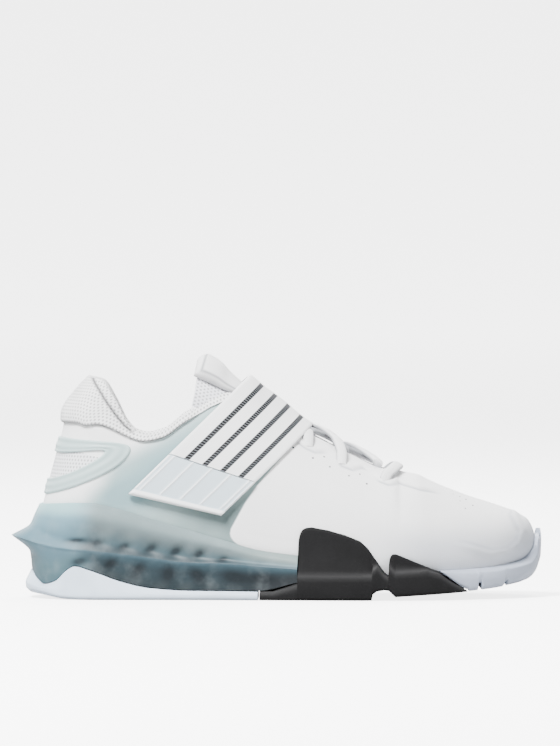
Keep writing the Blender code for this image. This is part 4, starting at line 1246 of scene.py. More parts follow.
@dataclass
class Wedge:
    """Tinted heel wedge: spur, ridge line, two rows of dark pockets, and a rim that thins over the upper."""

    form: ShoeForm
    end: float = 0.1442
    pocket: float = 0.0007
    pitch: float = 0.0139
    first: float = 0.0195
    count: int = 7
    levels: dict[str, Array] = field(default_factory=lambda: table(
        "along seat ridge top foot hollow spur waist lip",
        (0.000, 0.579, 1.250, 1.875, 1.18, 1.40, 0.00, 1.40, 0.32),
        (0.008, 0.410, 1.214, 1.880, 1.12, 1.32, 0.20, 1.30, 0.32),
        (0.020, 0.302, 1.125, 1.893, 1.04, 1.20, 0.55, 1.00, 0.30),
        (0.040, 0.368, 1.046, 1.907, 1.00, 1.00, 0.85, 0.72, 0.26),
        (0.060, 0.588, 1.012, 1.917, 0.94, 0.90, 0.95, 0.66, 0.25),
        (0.074, 0.672, 0.998, 1.917, 0.92, 0.87, 0.98, 0.63, 0.23),
        (0.099, 0.600, 0.975, 1.911, 0.92, 0.84, 1.00, 0.60, 0.20),
        (0.155, 0.393, 0.914, 1.804, 0.90, 0.80, 1.00, 0.60, 0.16),
        (0.220, 0.243, 0.836, 1.607, 0.88, 0.78, 1.00, 0.60, 0.14),
        (0.300, 0.193, 0.743, 1.379, 0.88, 0.78, 1.00, 0.62, 0.14),
        (0.370, 0.189, 0.732, 1.179, 0.88, 0.78, 1.00, 0.64, 0.14),
        (0.440, 0.182, 0.679, 0.986, 0.88, 0.80, 1.00, 0.70, 0.14),
        (0.519, 0.350, 0.621, 0.879, 0.92, 0.88, 1.00, 0.80, 0.14),
    ))
    upper_spots: tuple[tuple[float, float, float, float], ...] = (
        (-112.5, 33.2, 6.2, 1.7), (-101.0, 32.0, 5.0, 2.6), (-86.0, 29.7, 4.2, 3.2), (-71.2, 28.6, 4.4, 4.2),
        (-57.2, 27.0, 4.3, 4.4), (-44.2, 25.6, 4.2, 3.6), (-30.6, 22.8, 3.8, 2.2),
    )
    lower_spots: tuple[tuple[float, float, float, float], ...] = (
        (-111.0, 21.5, 4.5, 2.5), (-93.5, 20.0, 3.6, 3.2), (-78.0, 16.5, 3.8, 4.6), (-61.0, 14.6, 4.2, 5.4),
        (-44.5, 13.6, 4.6, 5.0), (-24.5, 13.0, 7.5, 4.2), (-8.0, 12.0, 9.0, 3.5),
    )

    def columns(self) -> Array:
        """Places round the heel, evenly along the outline."""
        half = np.concatenate([
            np.linspace(0, self.form.round_at(0.0125), 60, endpoint=False),
            self.form.round_at(np.linspace(0.0125, self.end, 150)),
        ])
        return np.concatenate([-half[:0:-1], half])

    def row(self, s: Array) -> Array:
        """Depth of the row of pockets: a raised cosine for each pocket, 0 beyond the row."""
        reach = s * self.form.length - self.first
        inside = (reach > -self.pitch / 2) & (reach < self.pitch * (self.count - 0.5))
        return self.pocket * np.where(inside, 0.5 + 0.5 * np.cos(2 * np.pi * reach / self.pitch), 0.0)

    def tint_and_shade(self, x: Array, z: Array, ridge: Array, rim: Array, foot: Array) -> Array:
        """Colour of the plastic: pale blue at the back, grey green towards the rim, slate at the bottom.

        Args:
            x: Places along the shoe, in mm.
            z: Heights, in mm.
            ridge: Heights of the ridge line, in mm.
            rim: Heights of the rim.
            foot: Heights of the lower edge.

        Returns:
            The colours.
        """
        high = np.clip((z - ridge) / np.maximum(rim - ridge, 0.5), 0, 1)
        deep = np.clip((ridge - z) / np.maximum(ridge - foot, 0.5), 0, 1)
        over = z > ridge
        back = 1 - smooth(-121, -100, x)
        front = smooth(-34, 4, x)
        streak = 0.5 + 0.5 * np.cos(2 * np.pi * (x - 0.45 * (z - ridge) - 3) / 13.9)
        upper = sum(blob(x, z, spot[:2], spot[2:], 0.55) for spot in self.upper_spots)
        lean = [0.45 - 0.9 * smooth(-75, -40, spot[0]) for spot in self.lower_spots]
        lower = sum(blob(x, z, spot[:2], spot[2:], slant) for spot, slant in zip(self.lower_spots, lean))
        line = np.exp(-(((z - ridge + 0.5) / 0.75) ** 2)) * (1 - 0.55 * front)
        fore, under, shallow = 1 - back, ~over, 1 - smooth(0.10, 0.75, high)
        return paint(
            x.shape,
            (tone(146, 172, 178), 1.0),
            (tone(160, 173, 175), over * smooth(0.10, 0.5, high)),
            (tone(176, 188, 189), over * smooth(0.45, 1.0, high) * fore),
            (tone(146, 175, 184), over * back),
            (tone(172, 195, 201), over * back * smooth(0.15, 0.6, high)),
            (tone(196, 212, 213), over * back * smooth(0.6, 1.0, high)),
            (tone(112, 138, 147), over * fore * shallow * streak * 0.85 * (1 - front)),
            # painted shade: darker on the up-facing shelf just above the ridge
            (tone(72, 100, 111), over * fore * (1 - smooth(0.06, 0.26, high)) * 0.9),
            (tone(92, 125, 137), under * fore),
            (tone(72, 95, 105), under * fore * smooth(0.10, 0.45, deep)),
            (tone(60, 78, 86), under * fore * smooth(0.40, 0.95, deep)),
            (tone(150, 178, 186), under * back),
            (tone(132, 161, 168), under * back * smooth(0.15, 0.6, deep)),
            (tone(122, 152, 160), under * back * smooth(0.5, 1.0, deep)),
            (tone(110, 118, 120), under * fore * smooth(0.6, 1.0, deep) * (1 - streak) * 0.30 * (1 - front)),
            (tone(62, 70, 75), under * front * smooth(0.1, 0.7, deep)),
            (tone(178, 188, 187), over * front * smooth(0.25, 0.7, high)),
            (tone(104, 140, 152), over * front * (1 - smooth(0.02, 0.22, high))),
            # painted shade in the pockets: dark spots over the shallow dimples of both rows
            (tone(34, 48, 56), np.clip(upper * over, 0, 0.9)),
            (tone(32, 42, 49), np.clip(lower * under, 0, 0.8)),
            (tone(122, 152, 163), np.clip(line * 0.6, 0, 1)),
        )

    def build(self) -> bpy.types.Object:
        """Makes the wedge as rays from the spine round the side, curved between the levels of its table.

        Returns:
            The piece.
        """
        form = self.form
        a = self.columns()
        s, base = share(a), form.outline(a)
        rim, ridge = (read(self.levels, name, s) * form.bed for name in ("top", "ridge"))
        foot = read(self.levels, "seat", s) * form.bed + form.gap
        back = 1 - read(self.levels, "spur", s)
        spur = form.stand_out + (form.spur - form.stand_out) * back
        lip = form.fit + read(self.levels, "lip", s) * form.stand_out

        def side(name: str, z: Array, depth: Array) -> Array:
            """A level of the side by its column in the table, sunk by a depth."""
            return form.raised(base, a, read(self.levels, name, s) * form.stand_out - depth, z)

        low_side = [
            side("foot", foot, 0 * s),
            side("hollow", foot + (ridge - foot) * 0.5, self.row(s + self.pitch / 2 / form.length)),
            form.raised(base, a, spur, ridge),
        ]
        mid = ridge + (rim - ridge) * 0.65
        high_side = [
            form.raised(base, a, spur, ridge),
            side("waist", ridge + (rim - ridge) * (0.25 + 0.1 * back), self.row(s)),
            form.raised(form.plan_at(a, mid), a, lip + form.stand_out * 0.5, mid),
            form.raised(form.plan_at(a, rim), a, lip, rim),
        ]
        inner = form.cup(a, rim)
        crown = (high_side[-1] + inner[0]) / 2 + np.array([0, 0, 0.0004])
        strip = np.concatenate([
            form.spine(a, foot)[:, None],
            through(np.stack(low_side, 1), 26),
            through(np.stack(high_side, 1), 44)[:, 1:],
            crown[:, None],
            np.stack(inner, 1),
            form.spine(a, form.feather(s) - form.gap)[:, None],
        ], 1)
        strip = form.place(strip)
        x, z = form.side_view(strip)
        heights = (ridge[:, None] / MM, rim[:, None] / MM, foot[:, None] / MM)
        marks = {"tint_and_shade": self.tint_and_shade(x, z, *heights)}
        body = piece("tinted_wedge", [strip], caps=True, marks=marks, sharp=60.0)
        body.data.materials.append(Tinted("wedge_plastic", 0.45, 0.0).dress())
        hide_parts("heel_wedge")
        return body


@dataclass
class Treads:
    """The three rubber pieces of the sole: white heel plate, dark forefoot and white toe."""

    form: ShoeForm
    wedge: Wedge
    plate_end: float = 0.1227
    groove: float = 0.002
    grooves: tuple[float, float] = (0.2449, 0.2594)
    groove_top: float = 0.0095
    wing_start: float = 0.5196
    plate: dict[str, Array] = field(default_factory=lambda: table(
        "along tread_rise tread side_rise side",
        (0.000, 0.118, 1.40, 0.250, 2.04),
        (0.020, 0.093, 1.44, 0.214, 1.92),
        (0.065, 0.011, 1.44, 0.107, 1.64),
        (0.120, 0.000, 1.36, 0.080, 1.50),
        (0.300, 0.000, 1.04, 0.072, 1.16),
        (0.450, 0.000, 0.94, 0.072, 1.06),
    ))
    rubber: dict[str, Array] = field(default_factory=lambda: table(
        "along top under",
        (0.4435, 0.180, 0.000),
        (0.4700, 0.182, 0.000),
        (0.4950, 0.260, 0.000),
        (0.5190, 0.340, 0.000),
        (0.5202, 1.120, 0.000),
        (0.5215, 1.260, 0.000),
        (0.5240, 1.350, 0.000),
        (0.5280, 1.412, 0.000),
        (0.5350, 1.450, 0.000),
        (0.5460, 1.464, 0.000),
        (0.5795, 1.404, 0.000),
        (0.6160, 1.300, 0.000),
        (0.6440, 1.186, 0.000),
        (0.6598, 1.043, 0.000),
        (0.6675, 0.930, 0.004),
        (0.6700, 0.895, 0.125),
        (0.6780, 0.780, 0.180),
        (0.6930, 0.560, 0.207),
        (0.7010, 0.505, 0.195),
        (0.7016, 0.700, 0.193),
        (0.7030, 0.820, 0.186),
        (0.7055, 0.890, 0.160),
        (0.7095, 0.925, 0.118),
        (0.7150, 0.928, 0.068),
        (0.7240, 0.896, 0.074),
        (0.7606, 0.742, 0.096),
        (0.7869, 0.636, 0.112),
        (0.8030, 0.574, 0.122),
        (0.8060, 0.552, 0.124),
        (0.8255, 0.400, 0.138),
        (0.8400, 0.296, 0.148),
        (0.8540, 0.205, 0.160),
    ))
    toe: dict[str, Array] = field(default_factory=lambda: table(
        "along top under tread low side high lip",
        (0.8020, 0.575, 0.140, 0.70, 0.82, 0.84, 0.76, 0.30),
        (0.8200, 0.582, 0.150, 0.66, 0.80, 0.84, 0.76, 0.30),
        (0.8590, 0.596, 0.175, 0.64, 0.84, 0.88, 0.76, 0.30),
        (0.9100, 0.630, 0.222, 0.50, 0.80, 0.86, 0.76, 0.32),
        (0.9500, 0.690, 0.280, 0.00, 0.66, 0.80, 0.76, 0.36),
        (0.9800, 0.780, 0.315, -0.60, 0.40, 0.76, 0.78, 0.42),
        (0.9930, 0.985, 0.328, -0.95, 0.16, 0.74, 0.80, 0.48),
        (0.9985, 1.300, 0.334, -1.05, 0.08, 0.72, 0.78, 0.52),
        (1.0000, 1.364, 0.336, -1.06, 0.06, 0.72, 0.78, 0.54),
    ))

    def heel_plate(self) -> bpy.types.Object:
        """White plate: flat tread, flared side and the line that the wedge stands on.

        Returns:
            The piece.
        """
        form = self.form
        a = self.wedge.columns()
        a = a[share(a) * form.length <= self.plate_end]
        s, base = share(a), form.outline(a)

        def edge(out: str, rise: str) -> Array:
            """One of the plate's edges, by its columns in the table."""
            height = read(self.plate, rise, s) * form.bed
            return form.raised(base, a, read(self.plate, out, s) * form.stand_out, height)

        seat = read(self.wedge.levels, "seat", s) * form.bed - form.gap
        foot, tread = form.spine(a, 0 * s), edge("tread", "tread_rise")
        middle = foot + (tread - foot) * 0.55
        middle[:, 2] = 0
        upper = form.raised(base, a, read(self.wedge.levels, "foot", s) * form.stand_out + form.gap, seat)
        flank = edge("side", "side_rise")
        side = np.stack([tread * 0.3 + flank * 0.7, flank * 0.82 + upper * 0.18, upper], 1)
        strip = np.concatenate([
            foot[:, None],
            middle[:, None],
            (tread * 0.93 + middle * 0.07)[:, None],
            through(np.concatenate([tread[:, None], side], 1), 18),
            (upper * 0.97 + form.spine(a, seat) * 0.03)[:, None],
            form.spine(a, seat)[:, None],
        ], 1)
        strip = form.place(strip)
        # painted contact shadow: the shade mark darkens the plate's foot in its crease colour
        marks = {"shade": np.exp(-((strip[..., 2] / 0.0016) ** 2))}
        body = piece("white_heel_plate", [strip], caps=True, marks=marks, sharp=48.0)
        rubber = Moulded(
            "white_heel_rubber", tone(220, 224, 228), tone(210, 214, 219), 0.34, 0.1, 0.05,
            crease=tone(120, 124, 128),
        )
        body.data.materials.append(rubber.dress())
        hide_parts("heel_outsole")
        return body

    def forefoot(self) -> bpy.types.Object:
        """Dark rubber with its wings: one side for each half, with edge and underside from the table.

        Returns:
            The piece.
        """
        form = self.form
        rows = self.rubber["along"]
        s = np.unique(np.concatenate([rows, np.linspace(rows[0], rows[-1], 230)]))
        strips, shades = [], []
        for side in (-1, 1):
            a = side * form.round_at(s * form.length)
            base = form.outline(a)
            rim, under = (np.interp(s, rows, self.rubber[name]) * form.bed for name in ("top", "under"))
            body = np.minimum(rim - under, 0.57 * form.bed)
            crease = under + 0.85 * body
            mid, brow = (crease + rim) / 2, rim - 0.04 * body
            tall = smooth(0.5, 1.0, rim / form.bed)
            out = form.stand_out
            carries = (s < self.wing_start)[:, None]
            foot = np.stack([base[:, 0], 0 * s, under], -1)
            low = [
                form.raised(base, a, 0.66 * out, under),
                form.raised(base, a, 0.98 * out, under + 0.10 * body),
                form.raised(base, a, 1.02 * out, under + 0.40 * body),
                form.raised(base, a, 0.95 * out, crease),
            ]
            high = [
                form.raised(base, a, 0.95 * out, crease),
                form.raised(form.plan_at(a, mid), a, form.fit + (0.80 - 0.30 * tall) * out, mid),
                form.raised(form.plan_at(a, brow), a, form.fit + (0.72 - 0.40 * tall) * out, brow),
                form.raised(form.plan_at(a, rim), a, form.fit + (0.52 - 0.38 * tall) * out, rim),
            ]
            top = np.stack([base[:, 0], 0 * s, np.minimum(form.feather(s) - form.gap, rim)], -1)
            high = [high[0]] + [
                np.where(carries, form.raised(base, a, 0.93 * out, level[:, 2]), level) for level in high[1:]
            ]
            strips.append(form.place(np.concatenate([
                foot[:, None], through(np.stack(low, 1), 14), through(np.stack(high, 1), 26)[:, 1:],
                np.stack(form.cup(a, rim, 4), 1), top[:, None],
            ], 1)))
            z = strips[-1][..., 2]
            # painted highlight: the shade mark lightens a band along the crease in its crease colour
            shades.append(np.exp(-(((z - crease[:, None]) / 0.0017) ** 2)))
        marks = {"shade": np.concatenate(shades)}
        body = piece("dark_forefoot", strips, caps=True, marks=marks, sharp=44.0)
        rubber = Moulded(
            "dark_rubber", tone(47, 47, 48), tone(57, 57, 58), 0.55, 0.0, 0.3, 2200.0, 0.05,
            crease=tone(104, 104, 105),
        )
        body.data.materials.append(rubber.dress())
        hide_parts("forefoot_outsole")
        return body

    def toe_cap(self) -> bpy.types.Object:
        """White toe rubber: two cross grooves underneath, and the bumper in front of the toe.

        Returns:
            The piece.
        """
        form = self.form
        edge = 0.00025
        stations = [along * form.length for along in (0.8050, 0.8100, 0.8180, 0.8262, 0.8400, 0.8540, 0.8575)]
        stations += list(np.linspace(0.8595 * form.length, form.length - form.toe_spine, 60))
        for middle in self.grooves:
            reach = self.groove / 2
            stations += [middle + sign * (reach + step) for sign in (-1, 1) for step in (-edge, edge)]
        half = np.concatenate([
            form.round_at(np.unique(np.array(stations))),
            np.linspace(form.round_at(form.length - form.toe_spine), 1, 90)[1:],
        ])
        a = np.concatenate([half, 2 - half[-2::-1]])
        s, base = share(a), form.outline(a)
        rim = read(self.toe, "top", s) * form.bed
        over = np.interp(s, self.rubber["along"], self.rubber["top"]) * form.bed + form.gap
        under = np.where(s < self.rubber["along"][-1] + 0.0040, over, read(self.toe, "under", s) * form.bed)
        for middle in self.grooves:
            under = np.where(np.abs(s * form.length - middle) < self.groove / 2, self.groove_top, under)
        height = rim - under
        side = [
            form.raised(base, a, read(self.toe, name, s) * form.stand_out, under + climb * height)
            for name, climb in (("tread", 0.0), ("low", 0.18), ("side", 0.5), ("high", 0.8))
        ]
        lip = form.fit + read(self.toe, "lip", s) * form.stand_out
        side.append(form.raised(form.plan_at(a, rim), a, lip, rim))
        inner = form.cup(a, rim, 6)
        crown = (side[-1] + inner[0]) / 2 + np.array([0, 0, 0.0003])
        strip = np.concatenate([
            form.spine(a, under)[:, None], through(np.stack(side, 1), 34), crown[:, None],
            np.stack(inner, 1), form.spine(a, form.feather(s) - form.gap)[:, None],
        ], 1)
        body = piece("white_toe_cap", [form.place(strip)], caps=True, sharp=50.0)
        rubber = Moulded("white_toe_rubber", tone(206, 209, 214), tone(198, 201, 206), 0.42, 0.05, 0.08)
        body.data.materials.append(rubber.dress())
        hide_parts("toe_outsole")
        return body

    def build(self) -> list[bpy.types.Object]:
        """Makes the three pieces."""
        return [self.heel_plate(), self.forefoot(), self.toe_cap()]


@dataclass
class Inside:
    """What fills the shoe: sock liner, padded tongue and its curled pull tab."""

    form: ShoeForm
    liner: float = 0.004
    thick: float = 0.0045
    half: float = 0.0195
    tab: float = 0.0065
    overlay: float = 0.0009
    edge: tuple[tuple[float, float], ...] = (
        (0.0, 0.0), (0.985, 0.0), (1.0, 0.25), (1.0, 0.8), (0.985, 1.0),
        (0.93, 0.98), (0.8, 0.94), (0.5, 0.92), (0.0, 0.92),
    )
    spine_rows: dict[str, Array] = field(default_factory=lambda: table(
        "along place height half drop back",
        (0.00, 0.730, 0.5445, 0.56, 0.04, 0.0),
        (0.12, 0.690, 0.563, 0.70, 0.07, 0.0),
        (0.27, 0.621, 0.621, 0.86, 0.12, 0.0),
        (0.42, 0.549, 0.700, 0.93, 0.19, 0.0),
        (0.56, 0.477, 0.798, 0.98, 0.30, 0.0),
        (0.67, 0.434, 0.872, 1.00, 0.42, 0.0),
        (0.78, 0.398, 0.957, 1.00, 0.60, 0.2),
        (0.88, 0.362, 1.001, 1.00, 0.72, 0.5),
        (1.00, 0.320, 1.066, 1.00, 0.86, 1.0),
    ))

    def liner_pad(self) -> bpy.types.Object:
        """Sock liner: the bed's outline drawn in, with a rounded edge and a slightly raised rim.

        Returns:
            The piece.
        """
        form = self.form
        a = np.linspace(-1, 1, 260, endpoint=False)
        inset = form.feather_in + form.wall + form.fit + form.gap
        low = form.feather(share(a))
        foot = form.spine(a, low)
        edge = form.raised(form.outline(a), a, -inset, low)
        up = np.array([0, 0, self.liner])
        levels = [foot + (edge - foot) * across + up * rise for across, rise in self.edge]
        strip = form.place(np.stack(levels, 1))
        marks = {
            "around": np.broadcast_to(travel(strip[:, 3:4], 0), strip.shape[:2]),
            "up": travel(strip, 1),
        }
        pad = piece("sock_liner", [strip], loop_rows=True, marks=marks)
        cloth = Cloth("brushed_liner", Weave.FINE, tone(214, 216, 219), tone(170, 172, 176), 0.95)
        pad.data.materials.append(cloth.dress())
        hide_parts("insole")
        return pad

    def tongue_face(self, p: Array, q: Array) -> Array:
        """Upper face of the tongue, an arc from side to side.

        Args:
            p: Shares from its front end to its top.
            q: Places across it, from -1 to 1.

        Returns:
            Points from the foot's centre line.
        """
        p, q = np.broadcast_arrays(np.asarray(p, dtype=float), np.asarray(q, dtype=float))
        form, rows, bend = self.form, self.spine_rows, np.radians(80)
        x = form.heel_back + read(rows, "place", p) * form.length - read(rows, "back", p) * self.thick * q**2
        width = read(rows, "half", p) * self.half * np.sin(q * bend) / np.sin(bend)
        fall = read(rows, "drop", p) * form.bed * (1 - np.cos(q * bend)) / (1 - np.cos(bend))
        return np.stack([x, width, read(rows, "height", p) * form.collar - fall], -1)

    def pad(self, name: str, face: Array, thick: Array, sign: float, drawn: Array) -> bpy.types.Object:
        """A cushion on a grid of points, grown along its upward normals and closed round its edge.

        Args:
            name: The piece's name.
            face: Points of its seat.
            thick: Thickness at each.
            sign: 1 to grow upwards, -1 downwards.
            drawn: Painted shade of each.

        Returns:
            The piece.
        """
        grown = face + upward(face) * (thick * sign)[..., None]
        loops = np.concatenate([face, grown[:, ::-1]], 1)
        drawn = np.broadcast_to(drawn, face.shape[:2])
        marks = {
            "around": travel(loops, 1),
            "up": np.broadcast_to(travel(loops[:, 8:9], 0), loops.shape[:2]),
            "shade": doubled(drawn),
        }
        return piece(name, [loops], loop_columns=True, caps=True, marks=marks, sharp=70.0)

    def tongue(self) -> bpy.types.Object:
        """Padded tongue: spacer mesh, swelled in the middle, thin at its edges and at its front end.

        Returns:
            The piece.
        """
        p, q = np.linspace(0, 1, 130)[:, None], np.linspace(-1, 1, 60)[None, :]
        face = self.form.place(self.tongue_face(p, q))
        full = (0.45 + 0.55 * smooth(0.4, 0.8, p)) * (0.18 + 0.82 * cap(1 - np.abs(q), 0.25))
        full = full * cap(1.002 - p, 0.03)
        # painted shade: the tongue darker towards its front end, under the laces
        body = self.pad("tongue_pad", face, self.thick * full, -1.0, 0.35 * (1 - smooth(0.0, 0.5, p)) + 0 * q)
        cloth = Cloth("tongue_mesh", Weave.SPACER, tone(226, 226, 228), tone(122, 123, 126), shaded=True)
        body.data.materials.append(cloth.dress())
        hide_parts("tongue")
        return body

    def pull_tab(self) -> bpy.types.Object:
        """Curled pull tab: a padded band that stands off the tongue and rolls over at its top.

        Returns:
            The piece.
        """
        p, q = np.linspace(0.765, 1.0, 70)[:, None], np.linspace(-0.55, 0.55, 44)[None, :]
        beyond = np.linspace(0, 1, 70)[:, None]
        face = self.tongue_face(p, q)
        face[..., 0] -= 0.55 * self.thick * smooth(0.6, 1.0, beyond)
        face = self.form.place(face)
        face = face + upward(face) * (self.overlay + self.tab * 0.12 * beyond)[..., None]
        bulge = (0.35 + 0.65 * smooth(0.0, 0.8, beyond)) * (1 - 0.45 * smooth(0.85, 1.0, beyond))
        rounded = cap(1 - np.abs(q) / 0.55, 0.22) * cap(1.004 - beyond, 0.06)
        rim = np.maximum(np.abs(q) / 0.55, beyond * 1.0)
        # painted shade: a dark line inside the tab's border, and darker side edges
        drawn = 0.8 * np.exp(-(((rim - 0.90) / 0.022) ** 2)) + 0.35 * smooth(0.965, 1.0, np.abs(q) / 0.55)
        body = self.pad("pull_tab", face, self.tab * bulge * (0.25 + 0.75 * rounded), 1.0, drawn)
        cloth = Cloth("tab_cloth", Weave.WEBBING, tone(229, 230, 232), tone(176, 179, 183), 0.6, True)
        body.data.materials.append(cloth.dress())
        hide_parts("tongue_tab")
        return body

    def build(self) -> list[bpy.types.Object]:
        """Makes the three pads."""
        return [self.liner_pad(), self.tongue(), self.pull_tab()]


@dataclass(frozen=True)
class StrapCloth:
    """White webbing with four lengthwise rows of dark dashes, on the across and up attributes."""

    name: str = "strap_webbing"
    colour: Colour = tone(234, 236, 239)
    dark: Colour = tone(40, 41, 44)
    between: Colour = tone(158, 160, 164)
    first: float = 0.0089
    pitch: float = 0.0094
    width: float = 0.0027
    dash: float = 0.00155

    def dress(self) -> bpy.types.Material:
        """Makes the material: fine lengthwise yarns, and dashes where both distances are small.

        Returns:
            The material.
        """
        graph = Graph(self.name)
        across, up = graph.mark("across"), graph.mark("up")
        inside = across.above(self.first - self.pitch / 2) * across.less(self.first + self.pitch * 3.5)
        near = (across - self.first).cycle(self.pitch)
        stripe = 1.0 - near.step(self.width * 0.45, self.width * 0.55)
        dash = up.cycle(self.dash).step(self.dash * 0.16, self.dash * 0.22)
        mark = stripe * dash * inside * graph.mark("top").above(0.5)
        yarn = across.cycle(0.0011) / 0.00055
        rib = up.cycle(0.0009) / 0.00045
        pale = graph.mix(yarn * 0.10, self.colour, tone(200, 203, 208))
        band = graph.mix(stripe * inside * graph.mark("top").above(0.5), pale, self.between)
        colour = graph.mix(mark, band, self.dark)
        height = yarn * 0.5 + rib * 0.25 - stripe * inside * 0.5 + mark * 0.3
        return graph.finish(
            {"Specular IOR Level": 0.1, "Roughness": 0.7},
            Base_Color=colour,
            Normal=graph.bump(height, 0.4, 0.0003),
        )


@dataclass
class Strap:
    """Strap over the instep, from its ribbed lateral end over the throat to its medial end."""

    form: ShoeForm
    thick: float = 0.0018
    width: float = 0.045
    slope: float = 44.2
    rear: float = -0.1008
    clear: float = 0.0015
    tab_length: float = 0.028
    tab_thick: float = 0.0026
    rib: float = 0.0006
    low_rear: float = -0.019
    low_front: float = 0.0105
    lace: float = 0.005
    crown: dict[str, Array] = field(default_factory=lambda: table(
        "along rise", (0.40, 2.0), (0.477, 1.50), (0.54, 0.78), (0.60, 0.78)
    ))

    def point(self, square: float, climb: Array) -> tuple[Array, Array]:
        """X and Z of a place on the strap, from its distance square to it and up along it."""
        turn = np.radians(self.slope)
        return square * np.sin(turn) + climb * np.cos(turn), -square * np.cos(turn) + climb * np.sin(turn)

    def path(self, square: float, low: float, count: int, lift: float) -> Array:
        """One lengthwise line: along both sides' sections, an ellipse over the throat, smoothed and lifted.

        Args:
            square: Where the line lies, square to the strap.
            low: Where it starts, up along it.
            count: Points wanted.
            lift: Height over the upper.

        Returns:
            Points from the lateral end to the medial end.
        """
        form, sides = self.form, []
        for side, extra in ((-1, 0.0), (1, 0.010)):
            climb = np.linspace(low - extra, 0.1, 500)
            x, z = self.point(square, climb)
            edge, hole = form.top(x), form.rim_half(form.rim_share(x))
            rise = read(self.crown, "rise", form.along(x)) * self.lace
            over = np.clip((z - edge) / rise, 0, 1)
            width = np.where(z < edge, form.section_half(x, z, side), hole * np.sqrt(1 - over**2))
            kept = over < 1
            sides.append(np.stack([side * width[kept], climb[kept]], -1))
        line = np.concatenate([sides[0], sides[1][::-1]])
        for _ in range(3):
            far = travel(line, 0)
            even = np.linspace(0, far[-1], 160)
            line = np.stack([np.interp(even, far, line[:, k]) for k in range(2)], -1)
            padded = np.concatenate([np.repeat(line[:1], 4, 0), line, np.repeat(line[-1:], 4, 0)])
            kernel = np.ones(9) / 9
            soft = np.stack([np.convolve(padded[:, k], kernel, "valid") for k in range(2)], -1)
            line[4:-4] = soft[4:-4]
        step = np.gradient(line, axis=0)
        normal = np.stack([-step[:, 1], step[:, 0]], -1)
        line = line + normal / np.linalg.norm(normal, axis=1, keepdims=True) * lift
        far = travel(line, 0)
        width, climb = (np.interp(np.linspace(0, far[-1], count), far, line[:, k]) for k in range(2))
        x, z = self.point(square, climb)
        return np.stack([x, width, z], -1)

    def sheets(self, count: int, lines: int) -> tuple[Array, Array]:
        """The strap's inner face and its unit normals, as grids along and across.

        Args:
            count: Points along.
            lines: Points across.

        Returns:
            The face and the normals.
        """
        faces = []
        for lift in (self.clear, self.clear + self.thick):
            fall = self.low_front - self.low_rear
            rows = [
                self.path(self.rear + self.width * t, self.low_rear + fall * t, count, lift)
                for t in np.linspace(0, 1, lines)
            ]
            faces.append(self.form.place(np.stack(rows, 1)))
        normal = faces[1] - faces[0]
        return faces[0], normal / np.linalg.norm(normal, axis=-1, keepdims=True)

    def band(self, name: str, face: Array, normal: Array, thick: Array, far: Array) -> bpy.types.Object:
        """A closed band: outer face by its thickness, rounded edges, inner face.

        Args:
            name: The piece's name.
            face: Its inner face.
            normal: The face's unit normals.
            thick: Thickness at each point.
            far: Metres along the strap of each row.

        Returns:
            The piece.
        """
        across = np.broadcast_to(np.linspace(0, self.width, face.shape[1])[None, :], face.shape[:2])
        outer = face + normal * thick[..., None]
        loops = np.concatenate([outer, face[:, ::-1]], 1)
        up = np.broadcast_to(far[:, None], face.shape[:2])
        marks = {
            "across": doubled(across),
            "up": doubled(up),
            "around": doubled(across),
            "top": np.concatenate([np.ones_like(up), np.zeros_like(up)], 1),
        }
        return piece(name, [loops], loop_columns=True, caps=True, marks=marks, sharp=45.0)

    def build(self) -> list[bpy.types.Object]:
        """Makes the webbing and its moulded end, cut from one surface.

        Returns:
            Both pieces.
        """
        count, lines = 300, 61
        face, normal = self.sheets(count, lines)
        far = travel(face[:, lines // 2], 0)
        cut = int(np.searchsorted(far, self.tab_length)) + 1
        t = np.linspace(0, 1, lines)[None, :]
        edge = cap(np.minimum(t, 1 - t) + 0.002, 0.03)
        ripple = 0.00012 * np.sin(far[cut:, None] / 0.006) * np.sin(t * 9.0)
        thick = self.thick * (0.35 + 0.65 * edge) + ripple
        thick = thick * (0.4 + 0.6 * cap(far[-1] - far[cut:, None] + 0.0003, 0.0012))
        web = self.band("strap_web", face[cut:], normal[cut:], thick, far[cut:])
        web.data.materials.append(StrapCloth().dress())
        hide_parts("strap")

        end = slice(0, cut)
        length = far[:cut, None] / far[cut - 1]
        ribs = np.exp(-((((t * 4.6 - 0.3 + 0.5) % 1.0 - 0.5) / 0.055) ** 2))
        inside = smooth(0.12, 0.16, length) * smooth(0.012, 0.03, t) * smooth(0.012, 0.03, 1 - t)
        roll = np.exp(-(((length - 0.06) / 0.055) ** 2))
        thick = self.tab_thick * (0.55 + 0.45 * edge) * cap(length + 0.004, 0.05)
        thick = thick + self.rib * (ribs * inside * 0.8 + roll * 1.4) - 0.0004 * inside
        joint = face[cut] - face[cut - 1]
        shell = face[end].copy()
        shell[-1] -= joint * 0.3
        tab = self.band("strap_end", shell, normal[end], thick, far[end])
        tint_and_shade = paint(
            (cut, lines),
            (tone(231, 233, 236), 1.0),
            (tone(216, 220, 222), inside * (1 - 0.8 * ribs)),
            # painted shade: a darker line where the panel steps down above the rolled edge
            (tone(200, 210, 215), np.exp(-(((length - 0.15) / 0.02) ** 2)) * np.ones_like(t) * 0.6),
        )
        layer = tab.data.attributes.new("tint_and_shade", "FLOAT_COLOR", "POINT")
        both = doubled(tint_and_shade).reshape(-1, 4).astype(np.float32)
        layer.data.foreach_set("color", both[: len(tab.data.vertices)].ravel())
        tab.data.materials.append(Tinted("strap_end_plastic", 0.45, 0.04, 0.1).dress())
        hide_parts("strap_tab")
        return [web, tab]


